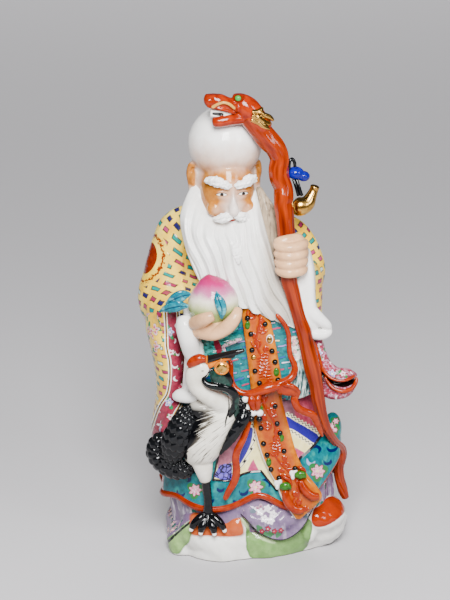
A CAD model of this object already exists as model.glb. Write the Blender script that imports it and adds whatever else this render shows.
import math

import bpy
import numpy as np
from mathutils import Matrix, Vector


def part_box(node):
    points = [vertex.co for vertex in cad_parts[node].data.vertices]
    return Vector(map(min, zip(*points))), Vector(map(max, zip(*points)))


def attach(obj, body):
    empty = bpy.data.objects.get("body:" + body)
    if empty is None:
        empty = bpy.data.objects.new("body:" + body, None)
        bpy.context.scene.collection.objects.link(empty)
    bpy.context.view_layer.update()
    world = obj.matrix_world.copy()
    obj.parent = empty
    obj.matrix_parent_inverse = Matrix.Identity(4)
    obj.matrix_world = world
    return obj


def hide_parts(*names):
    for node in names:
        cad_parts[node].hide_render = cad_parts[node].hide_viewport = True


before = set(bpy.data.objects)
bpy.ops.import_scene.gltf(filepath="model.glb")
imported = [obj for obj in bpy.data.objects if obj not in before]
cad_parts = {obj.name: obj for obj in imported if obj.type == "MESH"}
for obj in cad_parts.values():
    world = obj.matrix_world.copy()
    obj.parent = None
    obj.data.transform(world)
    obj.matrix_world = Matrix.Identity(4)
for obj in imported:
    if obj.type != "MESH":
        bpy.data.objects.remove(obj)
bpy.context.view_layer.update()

NODE = "shou_lao_figure"
DRAWN_HEIGHT = 430.4
MM = (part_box(NODE)[1][2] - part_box(NODE)[0][2]) / DRAWN_HEIGHT
TAU = 2 * math.pi
FRONT = (0, -1, 0)
UP = (0, 0, 1)
VIEW_UNIT = 0.885        # millimetres on the figure for one unit of the painter's view
FRONT_SHARE = 1.2        # faces between front and side go to the front up to this ratio


# Geometry helpers: grids of points in drawn millimetres

def spline(keys, t):
    """Points of a smooth curve through equally spaced keys, at each t from 0 to 1."""
    keys = np.asarray(keys, float)
    spans = len(keys) - 1
    place = np.clip(np.asarray(t, float), 0, 1) * spans
    i = np.minimum(place.astype(int), spans - 1)
    s = (place - i)[..., None]
    a = keys[np.maximum(i - 1, 0)]
    b = keys[i]
    c = keys[i + 1]
    d = keys[np.minimum(i + 2, spans)]
    return 0.5 * (2 * b + (c - a) * s + (2 * a - 5 * b + 4 * c - d) * s ** 2
        + (3 * b - a - 3 * c + d) * s ** 3)


def unit(v):
    return v / np.maximum(np.linalg.norm(v, axis=-1, keepdims=True), 1e-9)


def sweep(path, sizes, face=FRONT, along=40, around=24, ends=(0.06, 0.06), square=2.0):
    """A closed form along a path. sizes are half sizes (sideways, through) at each key of the path,
    ends are the shares of the length over which it rounds off, square above 2 squares the section."""
    t = np.linspace(0, 1, along + 1)
    t = 0.55 * t + 0.45 * (1 - np.cos(np.pi * t)) / 2
    centre = spline(path, t)
    tangent = unit(np.gradient(centre, axis=0))
    side = unit(np.cross(np.asarray(face, float), tangent))
    out = np.cross(tangent, side)
    half = spline(sizes, t)
    for end, share in zip((t, 1 - t), ends):
        if share:
            near = np.clip(end / share, 0, 1)
            half = half * np.sqrt(1 - (1 - near) ** 2)[:, None]
    angle = np.arange(around) / around * TAU
    c, s = np.cos(angle), np.sin(angle)
    if square != 2.0:
        stretch = (np.abs(c) ** square + np.abs(s) ** square) ** (-1 / square)
        c, s = c * stretch, s * stretch
    return (centre[:, None] + side[:, None] * (half[:, :1] * c)[..., None]
        + out[:, None] * (half[:, 1:] * s)[..., None])


def outward(grid):
    """Outward directions of a grid that is closed around."""
    across = np.roll(grid, -1, 1) - np.roll(grid, 1, 1)
    return unit(np.cross(across, np.gradient(grid, axis=0)))


def swell(grid, amount):
    return grid + outward(grid) * amount[..., None]


def skin(grid):
    """Vertices and faces of a grid closed around, with a pole at each end."""
    rows, cols = grid.shape[:2]
    i, j = np.meshgrid(np.arange(rows - 1), np.arange(cols), indexing="ij")
    a = i * cols + j
    b = i * cols + (j + 1) % cols
    quads = np.stack([a, b, b + cols, a + cols], -1).reshape(-1, 4)
    ring = np.arange(cols)
    follow = (ring + 1) % cols
    first, last = rows * cols, rows * cols + 1
    foot = np.stack([np.full(cols, first), follow, ring], -1)
    top = np.stack([np.full(cols, last), ring + (rows - 1) * cols, follow + (rows - 1) * cols], -1)
    verts = np.concatenate([grid.reshape(-1, 3), [grid[0].mean(0)], [grid[-1].mean(0)]])
    return verts, quads.tolist() + foot.tolist() + top.tolist()


def ball(centre, radii, turn=0.0, around=28, down=18, tip=0.0):
    """A closed ellipsoid, turned about Z by turn and about X by tip."""
    a = np.linspace(-np.pi / 2, np.pi / 2, down + 1)[1:-1]
    b = np.arange(around) / around * TAU
    grid = np.stack([np.cos(a)[:, None] * np.cos(b), np.cos(a)[:, None] * np.sin(b),
            np.sin(a)[:, None] * np.ones(around)], -1) * np.asarray(radii, float)
    ct, st = math.cos(tip), math.sin(tip)
    x, y, z = grid[..., 0], grid[..., 1] * ct - grid[..., 2] * st, grid[..., 1] * st + grid[..., 2] * ct
    c, s = math.cos(turn), math.sin(turn)
    return np.stack([x * c - y * s, x * s + y * c, z], -1) + np.asarray(centre, float)


def new_piece(name, verts, faces):
    mesh = bpy.data.meshes.new(name)
    mesh.from_pydata((np.asarray(verts) * MM).tolist(), [], faces)
    mesh.polygons.foreach_set("use_smooth", [True] * len(mesh.polygons))
    piece = bpy.data.objects.new(name, mesh)
    bpy.context.scene.collection.objects.link(piece)
    return piece


def places(piece):
    """The piece's vertices in drawn millimetres."""
    flat = np.empty(len(piece.data.vertices) * 3)
    piece.data.vertices.foreach_get("co", flat)
    return flat.reshape(-1, 3) / MM


def mark(piece, name, values):
    """Stores one number for each vertex, which the piece's enamel reads."""
    layer = piece.data.attributes.new(name, "FLOAT", "POINT")
    layer.data.foreach_set("value", np.asarray(values, float).ravel())


def tube_piece(name, grid, marks=None):
    """A piece from one grid, with a UV map in millimetres: u around, v along."""
    verts, faces = skin(grid)
    piece = new_piece(name, verts, faces)
    rows, cols = grid.shape[:2]
    closed = np.concatenate([grid, grid[:, :1]], 1)
    u = np.zeros((rows, cols + 1))
    u[:, 1:] = np.cumsum(np.linalg.norm(np.diff(closed, axis=1), axis=-1), 1)
    u = np.broadcast_to(u.max(0), u.shape)
    v = np.zeros((rows, cols + 1))
    v[1:] = np.cumsum(np.linalg.norm(np.diff(closed, axis=0), axis=-1).mean(1))[:, None]
    uv = np.stack([u, v], -1)
    corners = np.stack([uv[:-1, :-1], uv[:-1, 1:], uv[1:, 1:], uv[1:, :-1]], 2).reshape(-1, 2)
    caps = np.concatenate([np.repeat(uv[0, :-1], 3, 0), np.repeat(uv[-1, :-1], 3, 0)])
    layer = piece.data.uv_layers.new(name="millimetres")
    layer.data.foreach_set("uv", np.concatenate([corners, caps]).ravel())
    for key, values in (marks or {}).items():
        mark(piece, key, np.concatenate([values.ravel(), [values[0].mean()], [values[-1].mean()]]))
    return piece


def settle(piece):
    """Keeps the plain mesh that the piece's modifiers make, shaded smooth."""
    mesh = bpy.data.meshes.new_from_object(piece.evaluated_get(bpy.context.evaluated_depsgraph_get()))
    piece.modifiers.clear()
    old = piece.data
    piece.data = mesh
    bpy.data.meshes.remove(old)
    mesh.name = piece.name
    mesh.polygons.foreach_set("use_smooth", [True] * len(mesh.polygons))
    return piece


def fused_piece(name, grids, voxel, rounds=3):
    """Overlapping forms melted into one skin, as luted and glazed clay is."""
    verts, faces, start = [], [], 0
    for grid in grids:
        points, sides = skin(grid)
        verts.append(points)
        faces += [[n + start for n in side] for side in sides]
        start += len(points)
    piece = new_piece(name, np.concatenate(verts), faces)
    remesh = piece.modifiers.new("melt", "REMESH")
    remesh.mode = "VOXEL"
    remesh.voxel_size = voxel * MM
    smooth = piece.modifiers.new("soften", "SMOOTH")
    smooth.factor = 0.5
    smooth.iterations = rounds
    return settle(piece)


def move(piece, where):
    """Puts a piece's vertices at these places in drawn millimetres."""
    piece.data.vertices.foreach_set("co", (where * MM).ravel())


def push(piece, amount):
    """Moves the vertices of a finished skin along their normals by amount in millimetres."""
    normals = np.empty(len(piece.data.vertices) * 3)
    piece.data.vertex_normals.foreach_get("vector", normals)
    move(piece, places(piece) + normals.reshape(-1, 3) * np.asarray(amount)[:, None])
    piece.data.update()


def flat_uv(piece):
    """UV map in millimetres laid on from the side that each face looks to: u to the right, v up."""
    mesh = piece.data
    where = places(piece)
    corner = np.empty(len(mesh.loops), int)
    mesh.loops.foreach_get("vertex_index", corner)
    counts = np.empty(len(mesh.polygons), int)
    mesh.polygons.foreach_get("loop_total", counts)
    facing = np.empty(len(mesh.polygons) * 3)
    mesh.polygons.foreach_get("normal", facing)
    x, y, _ = np.repeat(facing.reshape(-1, 3), counts, 0).T
    look = np.argmax([-FRONT_SHARE * y, x, y, -x], 0)
    x, y, z = where[corner].T
    seen = front(where[corner]) * (VIEW_UNIT, -VIEW_UNIT)
    sides = [seen, np.stack([y, z], -1), np.stack([-x, z], -1), np.stack([-y, z], -1)]
    layer = mesh.uv_layers.new(name="millimetres")
    layer.data.foreach_set("uv", np.choose(look[:, None], sides).ravel())


def row_uv(piece, spread, middle=(-13, 5), shoulder=230, dip=12, stretch=0.74):
    """UV map for level rows round the body, in millimetres. Behind, u turns about the body's middle;
    in front it runs on from the outline across each sleeve, drawn out by stretch."""
    mesh = piece.data
    x, y, z = places(piece).T
    side = np.where(x < middle[0], -1, 1)
    turn = np.arctan2(x - middle[0], middle[1] - y)
    up = np.where(z > shoulder, 80 * np.arctan2(z - shoulder, np.hypot(x - middle[0], y - middle[1])),
        z - shoulder)
    levels = np.arange(z.min(), z.max() + 5, 5)
    near = np.digitize(z, levels)
    edge = {way: np.interp(z, levels, [np.max((way * x)[near == n], initial=0)
            for n in range(len(levels))]) for way in (-1, 1)}
    edge = np.where(side < 0, edge[-1], edge[1])
    quarter = spread * math.pi / 2
    across = quarter - stretch * (edge - side * x - y + middle[1])
    before = y < middle[1]
    u = np.where(before, side * across, turn * spread)
    v = up + np.where(before, 0, dip * np.cos(turn))
    corner = np.empty(len(mesh.loops), int)
    mesh.loops.foreach_get("vertex_index", corner)
    counts = np.empty(len(mesh.polygons), int)
    mesh.polygons.foreach_get("loop_total", counts)
    u = u[corner]
    furthest = np.repeat(np.maximum.reduceat(u, np.cumsum(counts) - counts), counts)
    u = np.where(furthest - u > math.pi * spread, u + TAU * spread, u)
    layer = mesh.uv_layers.new(name="rows")
    layer.data.foreach_set("uv", np.stack([u, v[corner]], -1).ravel())


def path_distance(points, path, steps=80):
    """Distance in millimetres from each point to a smooth path."""
    line = spline(path, np.linspace(0, 1, steps + 1))
    best = np.full(len(points), 1e9)
    for p in line:
        best = np.minimum(best, ((points - p) ** 2).sum(-1))
    return np.sqrt(best)


def waves(x, y, seed, scale, layers=4):
    """Smooth random height between about -1 and 1, from a few crossing waves of one size."""
    chance = np.random.default_rng(seed)
    total = 0
    for _ in range(layers):
        heading = chance.uniform(0, TAU)
        length = scale * chance.uniform(0.7, 1.5)
        phase = chance.uniform(0, TAU)
        total = total + np.sin((x * math.cos(heading) + y * math.sin(heading)) * TAU / length + phase)
    return total / layers ** 0.5 / 1.2


def step(low, high, x):
    s = np.clip((x - low) / (high - low), 0, 1)
    return s * s * (3 - 2 * s)


# The painter's view from the front: 1.7 m away and 17 degrees above, in the photograph's units

EYE_DISTANCE = 1700
EYE_TILT = math.radians(17)
EYE_AIM = (-24.62, 0, 230.3)
EYE_SCALE = 1864.3
EYE = np.array([EYE_AIM[0], -EYE_DISTANCE * math.cos(EYE_TILT),
        EYE_AIM[2] + EYE_DISTANCE * math.sin(EYE_TILT)])


MIDDLE = (225, 300)        # the middle of the painter's view


def front(points):
    """Where points in drawn millimetres show from the front, across and down."""
    x, y, z = np.moveaxis(np.asarray(points, float) - EYE, -1, 0)
    depth = y * math.cos(EYE_TILT) - z * math.sin(EYE_TILT)
    rise = y * math.sin(EYE_TILT) + z * math.cos(EYE_TILT)
    return np.stack([MIDDLE[0] + EYE_SCALE * x / depth, MIDDLE[1] - EYE_SCALE * rise / depth], -1)


def spot(across, down, y):
    """The point at depth y that shows there from the front, in drawn millimetres."""
    a, b = (across - MIDDLE[0]) / EYE_SCALE, (MIDDLE[1] - down) / EYE_SCALE
    ray = np.array([a, math.cos(EYE_TILT) + b * math.sin(EYE_TILT),
            -math.sin(EYE_TILT) + b * math.cos(EYE_TILT)])
    return EYE + ray * (y - EYE[1]) / ray[1]


def spots(*seen):
    """Several spots: (across, down, y) each."""
    return np.array([spot(*one) for one in seen])


def closed_line(corners, steps=160):
    """Points of a smooth closed outline through the corners."""
    corners = np.asarray(corners, float)
    ring = np.concatenate([corners[-1:], corners, corners[:2]])
    t = np.linspace(1, len(corners) + 1, steps, endpoint=False) / (len(ring) - 1)
    return spline(ring, t)


def patch(flat, corners, smooth=True):
    """Distance of each flat point to an outline, positive inside it."""
    line = closed_line(corners) if smooth else np.concatenate(
        [np.linspace(a, b, 24, endpoint=False) for a, b in zip(corners, corners[1:] + corners[:1])])
    x, y = flat[:, 0], flat[:, 1]
    within = np.zeros(len(flat), bool)
    best = np.full(len(flat), 1e9)
    for (ax, ay), (bx, by) in zip(line, np.roll(line, -1, 0)):
        if ay != by:
            crosses = ((ay > y) != (by > y)) & (x < (bx - ax) * (y - ay) / (by - ay) + ax)
            within ^= crosses
        best = np.minimum(best, (x - ax) ** 2 + (y - ay) ** 2)
    return np.sqrt(best) * np.where(within, 1, -1)


def stripe(flat, path, half, steps=120):
    """How far each flat point lies inside a stripe of that half width along a path."""
    t = np.linspace(0, 1, steps)
    widths = spline(np.broadcast_to(np.asarray(half, float).reshape(-1, 1), (len(path), 1)), t)[:, 0]
    best = np.full(len(flat), -1e9)
    for p, w in zip(spline(path, t), widths):
        best = np.maximum(best, w - np.sqrt(((flat - p) ** 2).sum(-1)))
    return best


def flower(flat, centre, radius, petals=5, turn=0.3):
    """How far each flat point lies inside a flower's outline."""
    away = flat - np.asarray(centre, float)
    angle = np.arctan2(away[..., 1], away[..., 0])
    return radius * (0.8 + 0.2 * np.cos(petals * angle + turn)) - np.linalg.norm(away, axis=-1)


def most(values):
    return np.max(list(values), axis=0)


# Materials: one function adds a node, the others paint

def linear(code):
    """An sRGB hex colour as linear RGBA."""
    values = [int(code[i:i + 2], 16) / 255 for i in (1, 3, 5)]
    return [v / 12.92 if v <= 0.04045 else ((v + 0.055) / 1.055) ** 2.4 for v in values] + [1.0]


def add(tree, kind, *feeds, out=0, **more):
    """Adds a node. Lower-case names are its settings, the others its inputs, and feeds fill its
    inputs in order: a socket is linked, a number, vector or hex colour is set, any other word is the
    name of a kept attribute, and None is skipped."""
    node = tree.nodes.new("ShaderNode" + kind)
    for key, value in more.items():
        if key[0].islower():
            setattr(node, key, value)
    pairs = list(zip([s for s in node.inputs if s.enabled], feeds))
    pairs += [(node.inputs[key.replace("_", " ")], value) for key, value in more.items()
        if key[0].isupper()]
    for socket, feed in pairs:
        if isinstance(feed, str):
            feed = linear(feed) if feed[0] == "#" else add(tree, "Attribute", out=2, attribute_name=feed)
        if isinstance(feed, bpy.types.NodeSocket):
            tree.links.new(feed, socket)
        elif feed is not None:
            socket.default_value = feed
    return [s for s in node.outputs if s.enabled][out]


def drawn_place(tree):
    """Object coordinates in drawn millimetres."""
    return add(tree, "VectorMath", add(tree, "TexCoord", out=3), (1 / MM,) * 3, operation="MULTIPLY")


def lay(tree, ground, *coats):
    """Lays enamels over the ground. A coat is (where, low, high, colour, share): where is a value or
    the name of a kept attribute, and the coat grows from nothing at low to its share, or 1, at high."""
    for where, low, high, colour, *share in coats:
        mask = add(tree, "MapRange", where, low, high, 0.0, *(share or [1.0]))
        ground = add(tree, "Mix", mask, ground, colour, data_type="RGBA")
    return ground


def tone(tree, place, light, dark, size=9.0, seed=0.0, strength=1.0):
    """Brushed enamel, thicker and thinner in soft patches of that size in millimetres."""
    moved = add(tree, "VectorMath", place, (seed, seed * 1.7, seed * 0.6), operation="ADD")
    cloud = add(tree, "TexNoise", moved, Scale=1 / size, Detail=3.0, Roughness=0.6)
    share = add(tree, "MapRange", cloud, 0.35, 0.7, 0.0, strength)
    return add(tree, "Mix", share, light, dark, data_type="RGBA")


def mottled(tree, place, amount=0.8, size=5.0):
    """A place moved about a little, so that painted edges look drawn by hand."""
    cloud = add(tree, "TexNoise", place, out=1, Scale=1 / size, Detail=1.0)
    centred = add(tree, "VectorMath", cloud, (0.5, 0.5, 0.5), operation="SUBTRACT")
    shift = add(tree, "VectorMath", centred, (2 * amount,) * 3, operation="MULTIPLY")
    return add(tree, "VectorMath", place, shift, operation="ADD")


def dashes(tree, place, ground, pitch, half, lean, inks, outline="#202026", seed=0.0):
    """Rows of short brush marks over the ground, each in one of the inks with a dark outline."""
    turned = add(tree, "VectorRotate", mottled(tree, place), None, lean, rotation_type="Z_AXIS")
    cell = add(tree, "VectorMath", turned, (1 / pitch[0], 1 / pitch[1], 0), operation="MULTIPLY")
    across = add(tree, "SeparateXYZ", cell)
    down = across.node.outputs["Y"]
    row = add(tree, "Math", down, operation="FLOOR")
    along = add(tree, "Math", row, 0.37, across, operation="MULTIPLY_ADD")
    column = add(tree, "Math", along, operation="FLOOR")
    chance = add(tree, "TexWhiteNoise", add(tree, "CombineXYZ", column, row, seed))
    spread = add(tree, "SeparateColor", chance.node.outputs["Color"])
    x = add(tree, "Math", add(tree, "Math", along, operation="FRACT"), 0.5, operation="SUBTRACT")
    y = add(tree, "Math", add(tree, "Math", down, operation="FRACT"), 0.5, operation="SUBTRACT")
    size = add(tree, "MapRange", spread, 0.0, 1.0, half[0] * 0.85, half[0] * 1.1)
    far_x = add(tree, "Math", add(tree, "Math", x, operation="ABSOLUTE"), pitch[0], operation="MULTIPLY")
    far_y = add(tree, "Math", add(tree, "Math", y, operation="ABSOLUTE"), pitch[1], operation="MULTIPLY")
    in_x = add(tree, "Math", size, far_x, operation="SUBTRACT")
    in_y = add(tree, "Math", half[1], far_y, operation="SUBTRACT")
    inside = add(tree, "Math", in_x, in_y, 0.6, operation="SMOOTH_MIN")
    ink = add(tree, "ValToRGB", chance)
    ramp = ink.node.color_ramp
    ramp.interpolation = "CONSTANT"
    for n, code in enumerate(inks):
        stop = ramp.elements[n] if n < 2 else ramp.elements.new(n / len(inks))
        stop.position = n / len(inks)
        stop.color = linear(code)
    lit = lay(tree, ink, (y, 0.12, 0.3, "#f4f0e6", 0.35))
    marked = lay(tree, outline, (inside, 0.45, 0.9, lit))
    return lay(tree, ground, (inside, -0.25, 0.25, marked)), add(tree, "MapRange", inside, -0.2, 0.6)


def scattered(tree, place, spacing, seed=0.0):
    """For scattered marks: distance from the middle of the nearest mark and angle about it."""
    moved = add(tree, "VectorMath", place, (seed, seed * 1.3, 0), operation="ADD")
    cell = add(tree, "VectorMath", moved, (1 / spacing, 1 / spacing, 0), operation="MULTIPLY")
    near = add(tree, "TexVoronoi", cell, voronoi_dimensions="2D", Scale=1.0, Randomness=0.7)
    offset = add(tree, "VectorMath", cell, near.node.outputs["Position"], operation="SUBTRACT")
    flat = add(tree, "VectorMath", offset, (spacing, spacing, 0), operation="MULTIPLY")
    reach = add(tree, "VectorMath", flat, out=0, operation="LENGTH")
    parts = add(tree, "SeparateXYZ", flat)
    chance = add(tree, "SeparateColor", near.node.outputs["Color"])
    spin = add(tree, "Math", chance, TAU, operation="MULTIPLY")
    angle = add(tree, "Math", parts.node.outputs["Y"], parts, operation="ARCTAN2")
    return reach, add(tree, "Math", angle, spin, operation="ADD"), chance.node.outputs["Green"]


def blossoms(tree, place, ground, spacing, radius, petal, heart, leaf, outline="#521a2c", share=1.0,
        seed=0.0):
    """Five-petalled flowers with a pair of leaves over the ground; share of the places has one."""
    reach, angle, chance = scattered(tree, mottled(tree, place, 0.5, 3.0), spacing, seed)
    lobes = add(tree, "Math", add(tree, "Math", angle, 5.0, operation="MULTIPLY"), operation="COSINE")
    rim = add(tree, "MapRange", lobes, -1.0, 1.0, radius * 0.62, radius)
    inside = add(tree, "Math", rim, reach, operation="SUBTRACT")
    pair = add(tree, "Math", add(tree, "Math", angle, 2.0, operation="MULTIPLY"), operation="COSINE")
    leaf_rim = add(tree, "MapRange", pair, 0.55, 1.0, radius * 0.6, radius * 1.75)
    leafy = add(tree, "Math", leaf_rim, reach, operation="SUBTRACT")
    grown = add(tree, "Math", chance, share, operation="LESS_THAN")
    shade = lay(tree, petal, (inside, radius * 0.5, 0.3, "#fbf1f2", 0.7))
    flower = lay(tree, outline, (inside, 0.1, 0.5, shade))
    flower = lay(tree, flower, (add(tree, "Math", radius * 0.27, reach, operation="SUBTRACT"), -0.25,
            0.25, heart))
    green = lay(tree, "#0f412e", (leafy, 0.15, 0.55, leaf))
    there = add(tree, "Math", add(tree, "MapRange", leafy, -0.25, 0.25), grown, operation="MULTIPLY")
    ground = add(tree, "Mix", there, ground, green, data_type="RGBA")
    there = add(tree, "Math", add(tree, "MapRange", inside, -0.25, 0.25), grown, operation="MULTIPLY")
    return add(tree, "Mix", there, ground, flower, data_type="RGBA")


def crescents(tree, place, ground, spacing, radius, ink, seed=0.0):
    """Small curled brush strokes over the ground."""
    reach, angle, _ = scattered(tree, place, spacing, seed)
    ring = add(tree, "Math", add(tree, "Math", reach, radius, operation="SUBTRACT"), operation="ABSOLUTE")
    thick = add(tree, "MapRange", add(tree, "Math", angle, operation="COSINE"), -0.3, 1.0, -0.2,
        radius * 0.38)
    inside = add(tree, "Math", thick, ring, operation="SUBTRACT")
    return lay(tree, ground, (inside, -0.25, 0.25, ink))


def glazed(name, paint, roughness=0.1, metallic=0.0, relief=0.25):
    """A fired glaze or enamel. paint(tree) gives its colour and, if it has any, its height, which
    stands up by relief millimetres."""
    material = bpy.data.materials.new(name)
    material.use_nodes = True
    tree = material.node_tree
    shader = next(n for n in tree.nodes if n.type == "BSDF_PRINCIPLED")
    colour, height = paint(tree)
    tree.links.new(colour, shader.inputs["Base Color"])
    shader.inputs["Roughness"].default_value = roughness
    shader.inputs["Metallic"].default_value = metallic
    if not metallic:
        shader.inputs["IOR"].default_value = 1.5
        shader.inputs["Specular IOR Level"].default_value = 0.3
    ripple = add(tree, "TexNoise", drawn_place(tree), Scale=0.12, Detail=2.0)
    ripple = add(tree, "Math", ripple, 0.5, operation="MULTIPLY")
    if height is not None:
        ripple = add(tree, "Math", ripple, height, operation="ADD")
    bump = add(tree, "Bump", Strength=1.0, Distance=relief * MM, Height=ripple)
    tree.links.new(bump, shader.inputs["Normal"])
    return material


def dress(piece, material):
    """Gives a finished piece its material, its slot in the record and its body."""
    piece.data.materials.clear()
    piece.data.materials.append(material)
    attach(piece, "root")
    return piece


# Enamels and glazes

def plain(light, dark, size):
    """The paint of an enamel in one colour, brushed thicker and thinner."""
    return lambda tree: (tone(tree, drawn_place(tree), light, dark, size), None)


def paint_pink_cloth(tree, place):
    """Maroon pink ground with small blue and white flowers and curled marks."""
    ground = tone(tree, place, "#923044", "#742032", 6.0)
    ground = crescents(tree, place, ground, 13.0, 2.1, "#e8dfe4", seed=4.0)
    ground = blossoms(tree, place, ground, 22.0, 4.2, "#5e65be", "#f0e6c0", "#237a49", outline="#252a7e",
        share=0.55, seed=7.0)
    return blossoms(tree, place, ground, 19.0, 3.0, "#e7bfc7", "#aa173a", "#237a36", share=0.4, seed=21.0)


# Brush marks on the robe: how many go round it, and their pitch along and between the rows
MARKS_ROUND, MARK_PITCH = 28, (13.5, 7.6)


def paint_yellow_robe(tree):
    """Thin yellow enamel with rows of brush marks, a red roundel, and a pink band at the sleeve's edge."""
    place = add(tree, "UVMap", uv_map="millimetres")
    body = drawn_place(tree)
    ground = tone(tree, body, "#f2ca34", "#dca014", 14.0)
    thin = add(tree, "TexNoise", body, Scale=0.03, Detail=1.0)
    ground = lay(tree, ground, (thin, 0.42, 0.66, "#f6e87c", 0.7))
    marked, raised = dashes(tree, add(tree, "UVMap", uv_map="rows"), ground, MARK_PITCH, (4.3, 1.9), 0.0,
        ["#a13862", "#007a74", "#211d57", "#bdd6cc", "#93294d", "#008177"])
    # Roundel: a brown red disc inside a ring of twigs, on a place left free of marks
    reach = add(tree, "Attribute", out=2, attribute_name="roundel")
    wander = add(tree, "TexNoise", place, Scale=0.28, Detail=2.0)
    loose = add(tree, "Math", reach, add(tree, "MapRange", wander, 0.0, 1.0, -3.5, 3.5), operation="ADD")
    ring = add(tree, "Math", add(tree, "Math", loose, 22.0, operation="SUBTRACT"), operation="ABSOLUTE")
    twigs = add(tree, "TexNoise", place, Scale=0.5, Detail=3.0, Roughness=0.8)
    thick = add(tree, "MapRange", twigs, 0.35, 0.65, 0.0, 2.6)
    ring = add(tree, "Math", thick, ring, operation="SUBTRACT")
    disc = add(tree, "Math", 15.5, reach, operation="SUBTRACT")
    flowers = blossoms(tree, place, ground, 15.0, 5.6, "#b43c5e", "#dfc660", "#237a49", seed=9.0)
    # Then sprays down the sleeve, and the band edged with a black and a gold line
    return lay(tree, ground, (reach, 26.7, 27.3, marked), (ring, -0.25, 0.25, "#7b2506"),
        (disc, -0.25, 0.25, tone(tree, place, "#832604", "#641501", 4.0)),
        ("spray", -0.5, 0.5, flowers),
        ("band", -3.8, -3.4, "#f0ece2"),
        ("band", -2.8, -2.4, "#211a18"),
        ("band", -1.7, -1.3, "#bb8500"),
        ("band", -1.0, -0.6, "#f0ece2"),
        ("band", -0.2, 0.2, paint_pink_cloth(tree, place))), raised


def paint_skirt(tree):
    """Turquoise flounce with curls and peonies; the skirt above its edge in cream, pink and violet."""
    place = add(tree, "UVMap", uv_map="millimetres")
    thin = add(tree, "TexNoise", place, Scale=0.09, Detail=2.0)
    ground = lay(tree, tone(tree, place, "#007079", "#004c52", 7.0), (thin, 0.56, 0.74, "#289c8e", 0.7))
    wild = crescents(tree, place, ground, 15.0, 3.0, "#062875")
    wild = blossoms(tree, place, wild, 40.0, 8.0, "#bf3b5d", "#ebcad0", "#106c26", share=0.9, seed=5.0)
    streaked = tone(tree, place, "#c04a72", "#eccfd6", 1.8)
    teal = lay(tree, wild, ("drawn_here", -2.0, 2.0, ground), ("pale_curls", -0.3, 0.3, "#8f9cc8"),
        ("curls", -0.3, 0.3, "#03124a"), ("peony_leaf", -0.3, 0.3, "#1c6a34"),
        ("peony", -0.3, 0.2, "#5c0e2c"), ("peony", 0.5, 1.0, streaked), ("peony", 5.4, 6.0, "#e6d49a"))
    colour = tone(tree, place, "#f2e6a8", "#dccf86", 12.0)
    for name, ink, dark in (("mauve_top", "#8a5c68", "#6e4652"), ("pink_right", "#b04a5c", "#8e2c42"),
            ("mauve_left", "#b47080", "#935064"), ("pink_points", "#b74c73", "#9a2a55")):
        colour = lay(tree, colour, (name, -0.4, 0.4, tone(tree, place, ink, dark, 6.0)))
    # Violet fields, each with a wavy black line between two cream ones round it
    parts = add(tree, "SeparateXYZ", drawn_place(tree))
    beat = add(tree, "Math", parts, parts.node.outputs["Z"], operation="SUBTRACT")
    beat = add(tree, "Math", add(tree, "Math", beat, 1.1, operation="MULTIPLY"), operation="SINE")
    ripple = add(tree, "Math", beat, 0.9, 2.6, operation="MULTIPLY_ADD")
    for name in ("violet_right", "violet_left"):
        inside = add(tree, "Attribute", out=2, attribute_name=name)
        trim = add(tree, "Math", inside, ripple, operation="ADD")
        violet = tone(tree, place, "#30248c", "#241b7b", 5.0)
        colour = lay(tree, colour, (trim, -1.4, -1.0, "#efe7c4"), (trim, -0.4, 0.0, "#1d1921"),
            (trim, 0.7, 1.1, "#efe7c4"), (inside, -0.3, 0.3, violet))
    lattice = add(tree, "TexVoronoi", place, feature="DISTANCE_TO_EDGE", Scale=0.22)
    net = lay(tree, "#1d1a2c", (lattice, 0.06, 0.12, tone(tree, place, "#4d3eb2", "#7968c6", 4.0)))
    colour = lay(tree, colour, ("lattice", -0.25, 0.25, net))
    window = add(tree, "Attribute", out=2, attribute_name="window")
    line = add(tree, "Math", 1.1, add(tree, "Math", window, operation="ABSOLUTE"), operation="SUBTRACT")
    return lay(tree, teal, (window, -0.3, 0.3, colour), (line, -0.25, 0.25, "#1c1a1e")), None


def paint_lavender(tree):
    """Cool lavender with white streaks along the cloth and small pink flowers."""
    place = add(tree, "UVMap", uv_map="millimetres")
    ground = tone(tree, place, "#7d6986", "#5f4b6d", 10.0)
    streaks = add(tree, "TexNoise", add(tree, "VectorMath", place, (0.16, 0.05, 0), operation="MULTIPLY"),
        Scale=1.0, Detail=3.0)
    ground = lay(tree, ground, (streaks, 0.55, 0.72, "#e6dfe6", 0.85))
    return blossoms(tree, place, ground, 24.0, 5.6, "#aa173f", "#efe6d8", "#0d6c5d", share=0.7,
        seed=2.0), None


# Milky white that greys a little where the glaze lies thick
WHITE = glazed("clear_glaze_on_white_porcelain", plain("#f3f1ee", "#e6e5e0", 22.0))
YELLOW = glazed("yellow_enamel_with_brush_marks", paint_yellow_robe)
SKIRT = glazed("turquoise_and_cream_enamels", paint_skirt)
LAVENDER = glazed("lavender_enamel_with_sprigs", paint_lavender)
# Brick red, browner where it is thick, with a duller shine than the glaze
IRON_RED = glazed("iron_red_enamel", plain("#982e00", "#741600", 8.0), roughness=0.16)
# Warm tan, half matt
FLESH = glazed("flesh_enamel", plain("#dcab7e", "#bf916a", 14.0), roughness=0.2)
# Deep black with sharp reflections
BLACK = glazed("glossy_black_enamel", plain("#060608", "#101214", 9.0), roughness=0.07)
# Soft gold that reflects the room
GOLD = glazed("burnished_gilding", plain("#dcae5a", "#a67632", 5.0), roughness=0.2, metallic=1.0)


# The cloth: skirts, coat and sleeves

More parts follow.
